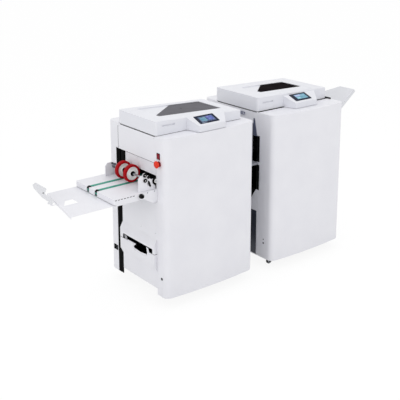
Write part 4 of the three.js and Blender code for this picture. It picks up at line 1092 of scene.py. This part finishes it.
# Fields of each display: left, right, low and high on the glass, and a colour or the user's own
DISPLAYS = {
    "trimmer": (
        ("field", 18, 124, 12, 63, None), ("sheet", 26, 68, 18, 54, "#47809C"),
        ("sheet_line_0", 30, 60, 47, 51, "#9CC4D0"), ("sheet_line_1", 42, 64, 22, 27, "#8DBCCB"),
        ("pads", 74, 118, 20, 60, "#3A4FA0"), ("pad_0", 78, 92, 48, 57, "#8C8FDC"),
        ("pad_1", 97, 112, 38, 47, "#6374CC"), ("pad_2", 80, 96, 26, 33, "#5F86C8"),
        ("foot", 14, 52, 4.5, 8.5, "#7F92AC"),
    ),
    "folder": (
        ("field", 30, 122, 15, 63, "#4E8EA6"), ("head", 34, 78, 44, 60, "#A3AFD6"),
        ("sheet", 36, 62, 20, 34, "#8CC0CE"), ("pad_0", 84, 114, 40, 54, "#6FA6BC"),
        ("pad_1", 70, 112, 20, 30, "#5A98B0"),
    ),
}


def build_display(machine):
    """The lit fields under the glass, as plain blocks of colour."""
    node = f"{machine}_screen"
    rise = SCREEN_HEIGHT * MM * math.sin(SCREEN_SLOPE)
    origin = Vector((low(node).x, low(node).y, high(node).z - rise))
    v = Vector((0, math.cos(SCREEN_SLOPE), math.sin(SCREEN_SLOPE)))
    n = Vector((0, -math.sin(SCREEN_SLOPE), math.cos(SCREEN_SLOPE)))
    for index, (name, left, right, bottom, top, hex_text) in enumerate(DISPLAYS[machine]):
        lift = FIELD_LIFT + BLOCK_LIFT * (index > 0)
        tint = hex_text or colours().display
        outline = rounded(left, right, bottom, top, FIELD_CORNER, 3)
        place_piece(f"{machine}_display_{name}",
                    plate(outline, origin + n * lift * MM, "x", v, FIELD_THICKNESS),
                    f"{machine}_lid", lit_panel(f"lit_glass_{tint[1:].lower()}", tint))


class BOOKLET_OT_deck(LineOperator, bpy.types.Operator):
    """Delivery deck, side plates with their ears, extension tray, end stop and clamp knob"""
    bl_idname = "booklet.deck"
    bl_label = "Delivery deck and tray"

    def execute(self, context):
        edge = sizes().edge_round
        dress_node("trimmer_deck", edge, 2)
        dress_node("trimmer_extension_tray", edge * 0.6, 2)
        dress_node("trimmer_end_stop", edge, 2)
        inside = beyond_end(at(ENAMEL_START, 0, 0).x)
        for node in ("trimmer_front_plate", "trimmer_back_plate"):
            dress_node(node, edge * 0.7, 2, pick=inside, inner=black_enamel())
        build_tray_knob()
        build_deck_fittings()
        return {"FINISHED"}


# The side plates are white outside the left end and black from here inwards
ENAMEL_START = 0.4
KNOB_PLACE = (-113, 39.7, 686)
STOP_CLIP = (-540, 346, 713)
# The deck's front and back skirts, and the places of the screws in both
DECK_FRONT = 40
DECK_BACK = 450
DECK_SCREWS = ((-68, 694), (-22, 694))
DECK_SCREW_RADIUS = 3.4 * MM
# A row of black dashes on the front skirt's face
DASH_COUNT = 7
DASH_START = -279
DASH_PITCH = 19
DASH_LENGTH = 12
DASH_LOW = 693.5
DASH_HIGH = 697


def build_tray_knob():
    """Fluted clamp knob on the deck's front skirt, with its rubber boss and steel stem."""
    place = at(*KNOB_PLACE)
    knob = place_piece("tray_knob_grip", plate(lobed(13, 1.1, 12), place, "x", "z", 16, 1.6), "tray_knob",
                       moulded_nylon())
    place_piece("tray_knob_boss", turned([(0, 16), (6.5, 16), (6, 16.3), (0, 16.3)], (0, -1, 0), place, 24),
                "tray_knob", neoprene())
    place_piece("tray_knob_stem", turned(disc_profile(4, -8.5, 0.2), (0, -1, 0), place, 24), "tray_knob",
                zinc_plate())
    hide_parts("trimmer_tray_knob")


def build_deck_fittings():
    """Screws in the deck's skirts, black dashes on the front skirt and the end stop's clip."""
    for index, (x, z) in enumerate(DECK_SCREWS):
        screw(f"deck_screw_{index}", at(x, DECK_FRONT, z), (0, -1, 0), "frame", radius=DECK_SCREW_RADIUS)
        screw(f"deck_screw_back_{index}", at(x, DECK_BACK, z), (0, 1, 0), "frame",
              radius=DECK_SCREW_RADIUS)
    for index in range(DASH_COUNT):
        x = DASH_START + index * DASH_PITCH
        dash = slab(at(x, DECK_FRONT - 0.4, DASH_LOW),
                      at(x + DASH_LENGTH, DECK_FRONT - 0.1, DASH_HIGH), 0.1)
        place_piece(f"deck_skirt_dash_{index}", dash, "frame", moulded_nylon())
    x, y, z = STOP_CLIP
    place_piece("end_stop_clip", slab(at(x - 3.2, y - 2.5, z - 5), at(x + 3, y + 2.5, z + 4), 0.8),
                "end_stop", moulded_nylon())


class BOOKLET_OT_conveyor(LineOperator, bpy.types.Operator):
    """Green belts, shafts, hold-down wheels, bearings and the timing drive"""
    bl_idname = "booklet.conveyor"
    bl_label = "Belts and wheels"

    def execute(self, context):
        fine = sizes().fine_round
        for node in ("trimmer_deck_belt_front", "trimmer_deck_belt_back"):
            dress_node(node, fine * 0.6, 1)
        for node in ("trimmer_tail_shaft", "trimmer_drive_shaft"):
            dress_node(node, fine * 0.8, 2)
        dress_node("trimmer_timing_belt", fine * 0.6, 1, neoprene())
        build_hold_down()
        build_timing_disc()
        build_idler()
        build_ear_fittings()
        build_belt_tail_shade_guards()
        return {"FINISHED"}


BELT_LINES = {"front": 229, "back": 314}
# The hold-down axle's place, and the inner faces of the two side plates that carry it
WHEEL_X = -46
WHEEL_Z = 754.2
EAR_FRONT = 66
EAR_BACK = 412
# Turned sections, as (radius, along the axle): the hub's and the tyre's halves, and a bearing's flange
HUB_HALF = [(6.1, -10), (13.4, -10), (14, -9.4), (14, -6.6), (14.8, -6), (32.6, -6), (33.4, -6.6),
            (33.7, -9.5), (34.3, -10), (38.1, -10), (38.7, -9.4)]
TYRE_HALF = [(39, -11.4), (39.6, -12), (48, -12), (50.4, -11.2), (51.6, -9.4), (52, -7.5), (52, -3.6),
             (51.3, -3), (52, -2.4)]
BEARING_FLANGE = [(6.4, 0), (15, 0), (15.4, 0.4), (15.4, 2.2), (14.6, 3), (10, 3.2), (9.6, 5.4),
                  (6.4, 5.4), (6.4, 0)]


def both_ways(half):
    """A closed section: a half and its mirror image along the axis."""
    return half + [(radius, -along) for radius, along in reversed(half)] + [half[0]]


def build_hold_down():
    """One axle with two dished hubs, tyres with two shallow grooves, rubber collars, and its bearings."""
    axle = turned(disc_profile(6, EAR_FRONT + 0.3, EAR_BACK - 0.3, 0.6), "y", at(WHEEL_X, 0, WHEEL_Z), 40)
    rod = place_piece("hold_down_axle", axle, "hold_down", ground_steel())
    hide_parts("trimmer_hold_down_hubs")
    for side, line in BELT_LINES.items():
        centre = at(WHEEL_X, line, WHEEL_Z)
        piece = place_piece(f"hold_down_hub_{side}", turned(both_ways(HUB_HALF), "y", centre, 72),
                            "hold_down", turned_acetal())
        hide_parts("trimmer_hold_down_hubs")
        piece = place_piece(f"hold_down_tyre_{side}", turned(both_ways(TYRE_HALF), "y", centre, 72),
                            "hold_down", cast_polyurethane())
        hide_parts(f"trimmer_hold_down_tyre_{side}")
        for face, turn in (("near", -1), ("far", 1)):
            collar = ring_profile(6.1, 13.8, 9.8, 17, 0.8)
            place_piece(f"hold_down_collar_{side}_{face}", turned(collar, (0, turn, 0), centre, 40),
                        "hold_down", neoprene())
    for name, y, turn in (("front", EAR_FRONT, 1), ("back", EAR_BACK, -1)):
        flange = turned(BEARING_FLANGE, (0, turn, 0), at(WHEEL_X, y, WHEEL_Z), 36)
        place_piece(f"hold_down_bearing_{name}", flange, "frame", zinc_plate())


# Places (x, height) of what turns on the front ear's outer face; its pieces' depths are counted as in at()
DISC_PLACE = (2, 745)
IDLER_PLACE = (-70, 760)
DISC_SECTION = [(0, 53.2), (4, 53.2), (4.6, 54), (6.6, 54), (7, 53.4), (13.2, 53.4), (13.6, 53.8),
                (13.6, 59), (0, 59)]
DISC_CAP_SECTION = [(0, 52.5), (6, 52.5), (6.6, 53.1), (6.6, 53.6), (0, 53.6)]
IDLER_SECTION = [(0, 53.4), (2.7, 53.4), (3, 53.7), (3, 59), (4, 59.6), (4, 72.2), (0, 72.2)]


def build_timing_disc():
    """White disc with a black rubber rim, a steel stub and a plated cap."""
    x, z = DISC_PLACE
    disc = at(x, 0, z)
    wheel = place_piece("timing_disc_wheel", turned(DISC_SECTION, "y", disc, 64), "timing_disc",
                        turned_acetal())
    rim = place_piece("timing_disc_rim", turned(ring_profile(13.7, 20.7, 53, 59, 0.8), "y", disc, 64),
                      "timing_disc", neoprene())
    stub = place_piece("timing_disc_stub", turned(disc_profile(5, 59, 72.2), "y", disc, 24),
                       "timing_disc", ground_steel())
    for piece in (wheel, rim, stub):
        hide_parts("trimmer_timing_disc")
    place_piece("timing_disc_cap", turned(DISC_CAP_SECTION, "y", disc, 32), "timing_disc",
                zinc_plate())


def build_idler():
    """Small white idler with a rubber tyre, where the timing belt turns."""
    x, z = IDLER_PLACE
    centre = at(x, 0, z)
    core = place_piece("idler_core", turned(IDLER_SECTION, "y", centre, 32), "idler",
                       turned_acetal())
    tyre = place_piece("idler_tyre", turned(ring_profile(3.2, 11, 53, 59, 0.5), "y", centre, 40), "idler",
                       neoprene())
    for piece in (core, tyre):
        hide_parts("trimmer_idler")


# Bearing places on the front ear: x, height, the boss' bore and its outer radius
EAR_BEARINGS = {"upper": (-72, 790, 5.1, 11), "lower": (-48, 775, 3.1, 8)}
EAR_SHADE_TRIANGLE = [(-52, 756), (-41, 751), (-30, 722), (-36, 714), (-46, 726)]
EAR_SHADE_TRIANGLE_BACK = 59.9
EAR_KNOB_PLACE = (-60, EAR_BACK, 771)


def build_ear_fittings():
    """Black rings with white cores on the front ear, a black triangle of painted shade below its axle, and
    the back ear's knob.
    """
    for name, (x, z, hole, radius) in EAR_BEARINGS.items():
        ring = [(hole - 2.2, 53.2), (radius - 0.6, 53.2), (radius + 0.3, 54), (radius + 0.3, 59.9),
                (radius + 0.05, 59.9), (radius + 0.05, 53.95), (hole - 2.2, 53.95), (hole - 2.2, 53.2)]
        place_piece(f"ear_bearing_{name}", turned(ring, "y", at(x, 0, z), 36), "frame",
                    moulded_nylon())
        core = turned(disc_profile(hole - 0.2, 54.2, 65.5), "y", at(x, 0, z), 24)
        place_piece(f"ear_bearing_core_{name}", core, "frame", turned_acetal())
    # A black triangle of painted shade where the ear's cut-out below the axle shows dark.
    place_piece("ear_shade_triangle", plate(EAR_SHADE_TRIANGLE, at(0, EAR_SHADE_TRIANGLE_BACK, 0), "x", "z", 1.6, 0.3),
                "frame", moulded_nylon())
    thumb = at(*EAR_KNOB_PLACE)
    place_piece("back_ear_knob", plate(lobed(5.5, 0.6, 8), thumb, "x", "z", 9, 1.2), "frame",
                moulded_nylon())
    place_piece("back_ear_stud", turned(disc_profile(2.6, -15.5, 12), (0, -1, 0), thumb, 20), "frame",
                zinc_plate())


# The tail pulleys' centre (x, height); the shade guards' inner and outer radius, span in degrees and half
# width
BELT_TAIL = (-266, 686.8)
TAIL_SHADE_BAND = (15.5, 16.2, 92, 168)
TAIL_SHADE_HALF = 13.3


def build_belt_tail_shade_guards():
    """Black curved guards where the belts turn round the tail pulleys: painted shade where the belts run
    dark into the tail.
    """
    x, z = BELT_TAIL
    for side, line in BELT_LINES.items():
        # Black guards that paint the shade at the belts' tail.
        guard = plate(arc_band(*TAIL_SHADE_BAND), at(x, line + TAIL_SHADE_HALF, z), "x", "z", 2 * TAIL_SHADE_HALF, 0.2)
        place_piece(f"belt_tail_shade_guard_{side}", guard, "frame", moulded_nylon())


class BOOKLET_OT_switches(LineOperator, bpy.types.Operator):
    """Stop button, rocker switch and mains inlet"""
    bl_idname = "booklet.switches"
    bl_label = "Switches and inlet"

    def execute(self, context):
        fine = sizes().fine_round
        dress_node("trimmer_power_rocker", fine, 2, red_rocker())
        dress_node("trimmer_power_inlet", fine, 2)
        build_stop_button()
        build_rocker_rim()
        build_inlet_pins()
        return {"FINISHED"}


STOP_PLACE = (0, 22, 850)
STOP_HEAD = [(0, -16), (9, -16), (9, 11), (15.6, 11), (17.2, 12.2), (17.6, 14.4), (19.4, 16), (20.6, 17.4),
             (21, 19.4), (20.4, 22), (18, 24.4), (13, 25.7), (6, 26), (0, 26)]
STOP_COLLAR = [(9.5, 0.1), (16, 0.1), (16, 2.6), (14.8, 5.2), (13.4, 6.4), (9.5, 6.4), (9.5, 0.1)]


def build_stop_button():
    """Mushroom button with a waisted grip, over a dark red collar."""
    place = at(*STOP_PLACE)
    piece = place_piece("stop_button_head", turned(STOP_HEAD, (-1, 0, 0), place, 56), "emergency_stop",
                        red_button())
    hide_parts("trimmer_emergency_stop")
    place_piece("stop_button_collar", turned(STOP_COLLAR, (-1, 0, 0), place, 48), "frame",
                red_rocker())


# The rocker's rim: front, back, low and high side of its outline and of its hole, and the corner radius
ROCKER_RIM_OUTSIDE = (13.8, 44.2, 874, 910, 2.5)
ROCKER_RIM_INSIDE = (15.8, 42.2, 876, 908, 1.4)


def build_rocker_rim():
    """Thin black rim round the rocker switch."""
    rim = frame_plate(rounded(*ROCKER_RIM_OUTSIDE), rounded(*ROCKER_RIM_INSIDE), at(-1.4, 0, 0), "y", "z",
                      1.3)
    place_piece("rocker_bezel", rim, "frame", moulded_nylon())


# Places (depth, height) of the inlet's flat pins and half their section
INLET_PINS = ((477, 209), (491, 209), (484, 201))
PIN_HALF_DEPTH = 1
PIN_HALF_HEIGHT = 2.4


def build_inlet_pins():
    """Three flat plated pins in the mains inlet."""
    for index, (y, z) in enumerate(INLET_PINS):
        pin = slab(at(1, y - PIN_HALF_DEPTH, z - PIN_HALF_HEIGHT),
                   at(14, y + PIN_HALF_DEPTH, z + PIN_HALF_HEIGHT), 0.3)
        place_piece(f"inlet_pin_{index}", pin, "frame", zinc_plate())


class BOOKLET_OT_ends(LineOperator, bpy.types.Operator):
    """Waste bin, infeed tray, catch and dock latch"""
    bl_idname = "booklet.ends"
    bl_label = "Bin, trays and latches"

    def execute(self, context):
        edge = sizes().edge_round
        # The bin's inside faces get black: painted shade in its dark hollow.
        dress_node("trimmer_waste_bin", edge * 0.8, 2, pick=inward("trimmer_waste_bin"),
                   inner=foam_and_painted_shade())
        dress_node("folder_infeed_tray", edge, 2, grey_powder_coat())
        dress_node("folder_lid_catch", edge, 2)
        dress_node("folder_dock_latch", edge, 2, violet_grey_powder_coat())
        build_bin_rim()
        grip = slab(at(FOLDER_LEFT - 9.5, 242, 965), at(FOLDER_LEFT - 8, 272, 977), 0.6)
        place_piece("dock_latch_grip", grip, "dock_latch", violet_grey_powder_coat())
        return {"FINISHED"}


# Outlines (depth, height) on the waste bin's back and front sheets, and the x of these sheets
BIN_RIM = [(134, 264), (134, 284), (196, 277), (256, 281), (268, 288), (240, 311), (328, 311), (328, 264)]
BIN_STRIP = [(96, 292), (112, 330), (131, 330), (118, 288)]
BIN_BACK_SHEET = -18
BIN_FRONT_SHEET = -21
FINGER_COUNT = 3
FINGER_START = 333
FINGER_PITCH = 9


def build_bin_rim():
    """The bin's set-back rim with its finger dip, the pale strip at the dip and the chute's fingers."""
    place_piece("bin_rim", plate(BIN_RIM, at(BIN_BACK_SHEET, 0, 0), "y", "z", 1.4, 0.3), "waste_bin",
                white_powder_coat())
    place_piece("bin_dip_strip", plate(BIN_STRIP, at(BIN_FRONT_SHEET, 0, 0), "y", "z", 1, 0.2),
                "waste_bin", abs_moulding())
    for index in range(FINGER_COUNT):
        y = FINGER_START + index * FINGER_PITCH
        finger = [(y, 299), (y + 3, 299), (y + 3, 309), (y + 11, 330), (y + 8, 330), (y, 310)]
        place_piece(f"bin_finger_{index}", plate(finger, at(BIN_BACK_SHEET, 0, 0), "y", "z", 1.2, 0.2),
                    "waste_bin", abs_moulding())


class BOOKLET_OT_mechanism(LineOperator, bpy.types.Operator):
    """Knife, rollers, folding blade, stapling head and side plates"""
    bl_idname = "booklet.mechanism"
    bl_label = "Mechanism"

    def execute(self, context):
        fine = sizes().fine_round
        for node in ("trimmer_knife", "trimmer_knife_bed", "trimmer_press_roller_lower",
                     "trimmer_press_roller_upper", "folder_front_plate", "folder_back_plate",
                     "folder_fold_blade", "folder_stapling_head"):
            dress_node(node, fine, 2)
        for node in ("folder_fold_roller_lower", "folder_fold_roller_upper"):
            dress_node(node, fine, 2, neoprene())
        build_mechanism_fittings()
        return {"FINISHED"}


BOLT_COUNT = 6
BOLT_START = 95
BOLT_PITCH = 58
# The knife's face and the height of its bolts
KNIFE_FACE = 150
BOLT_HEIGHT = 780
# A roller's journal beyond its drum, and the collar on it
JOURNAL_LENGTH = 15
COLLAR_BORE = 8.1
COLLAR_SHARE = 0.72


def build_mechanism_fittings():
    """Bolts along the knife and collars on the rollers' journals."""
    for index in range(BOLT_COUNT):
        place = at(KNIFE_FACE, BOLT_START + index * BOLT_PITCH, BOLT_HEIGHT)
        screw(f"knife_bolt_{index}", place, (-1, 0, 0), "knife", radius=6 * MM)
    for machine, parts in (("trimmer", ("press_roller_lower", "press_roller_upper")),
                           ("folder", ("fold_roller_lower", "fold_roller_upper"))):
        for part in parts:
            node = f"{machine}_{part}"
            radius = (high(node).z - low(node).z) / 2 / MM
            half = (high(node).y - low(node).y) / 2 / MM - JOURNAL_LENGTH
            collar = ring_profile(COLLAR_BORE, radius * COLLAR_SHARE, half + 1, half + 6, 0.6)
            for end, turn in (("near", -1), ("far", 1)):
                place_piece(f"{part}_collar_{end}", turned(collar, (0, turn, 0), middle(node), 32),
                            BODY_OF_NODE[node], zinc_plate())


class BOOKLET_OT_castors(LineOperator, bpy.types.Operator):
    """Swivel castors under the folder"""
    bl_idname = "booklet.castors"
    bl_label = "Castors"

    def execute(self, context):
        fine = sizes().fine_round
        for corner in ("front_left", "front_right", "back_left", "back_right"):
            wheel = f"folder_castor_wheel_{corner}"
            dress_node(f"folder_castor_{corner}", fine, 2, black_enamel())
            dress_node(wheel, fine, 2)
            for side, turn in (("near", -1), ("far", 1)):
                place_piece(f"castor_cap_{corner}_{side}",
                            turned(CASTOR_CAP, (0, turn, 0), middle(wheel), 28), BODY_OF_NODE[wheel],
                            zinc_plate())
        return {"FINISHED"}


# The plated cap on each side of a castor's wheel, as (radius, along its axle)
CASTOR_CAP = [(3.6, 8.6), (12, 8.6), (12.4, 8.9), (12, 9.2), (3.6, 9.2), (3.6, 8.6)]


STEPS = (BOOKLET_OT_stage, BOOKLET_OT_covers, BOOKLET_OT_lids, BOOKLET_OT_deck, BOOKLET_OT_conveyor,
         BOOKLET_OT_switches, BOOKLET_OT_ends, BOOKLET_OT_mechanism, BOOKLET_OT_castors)


class BOOKLET_PT_line(bpy.types.Panel):
    """Sizes, colours and steps of the booklet line"""
    bl_idname = "BOOKLET_PT_line"
    bl_label = "Booklet line"
    bl_space_type = "VIEW_3D"
    bl_region_type = "UI"
    bl_category = "Booklet Line"

    def draw(self, context):
        for group in (context.scene.line_sizes, context.scene.line_colours):
            box = self.layout.box()
            for name in group.bl_rna.properties.keys():
                if name not in ("rna_type", "name"):
                    box.prop(group, name)
        for step in STEPS:
            self.layout.operator(step.bl_idname)


CLASSES = (LineSizes, LineColours, BOOKLET_PT_line) + STEPS


def register():
    for item in CLASSES:
        bpy.utils.register_class(item)
    bpy.types.Scene.line_sizes = bpy.props.PointerProperty(type=LineSizes)
    bpy.types.Scene.line_colours = bpy.props.PointerProperty(type=LineColours)


def unregister():
    del bpy.types.Scene.line_colours
    del bpy.types.Scene.line_sizes
    for item in reversed(CLASSES):
        bpy.utils.unregister_class(item)


def main():
    """Builds the line step by step."""
    register()
    bpy.ops.booklet.stage()
    bpy.ops.booklet.covers()
    bpy.ops.booklet.lids()
    bpy.ops.booklet.deck()
    bpy.ops.booklet.conveyor()
    bpy.ops.booklet.switches()
    bpy.ops.booklet.ends()
    bpy.ops.booklet.mechanism()
    bpy.ops.booklet.castors()


if __name__ == "__main__":
    main()
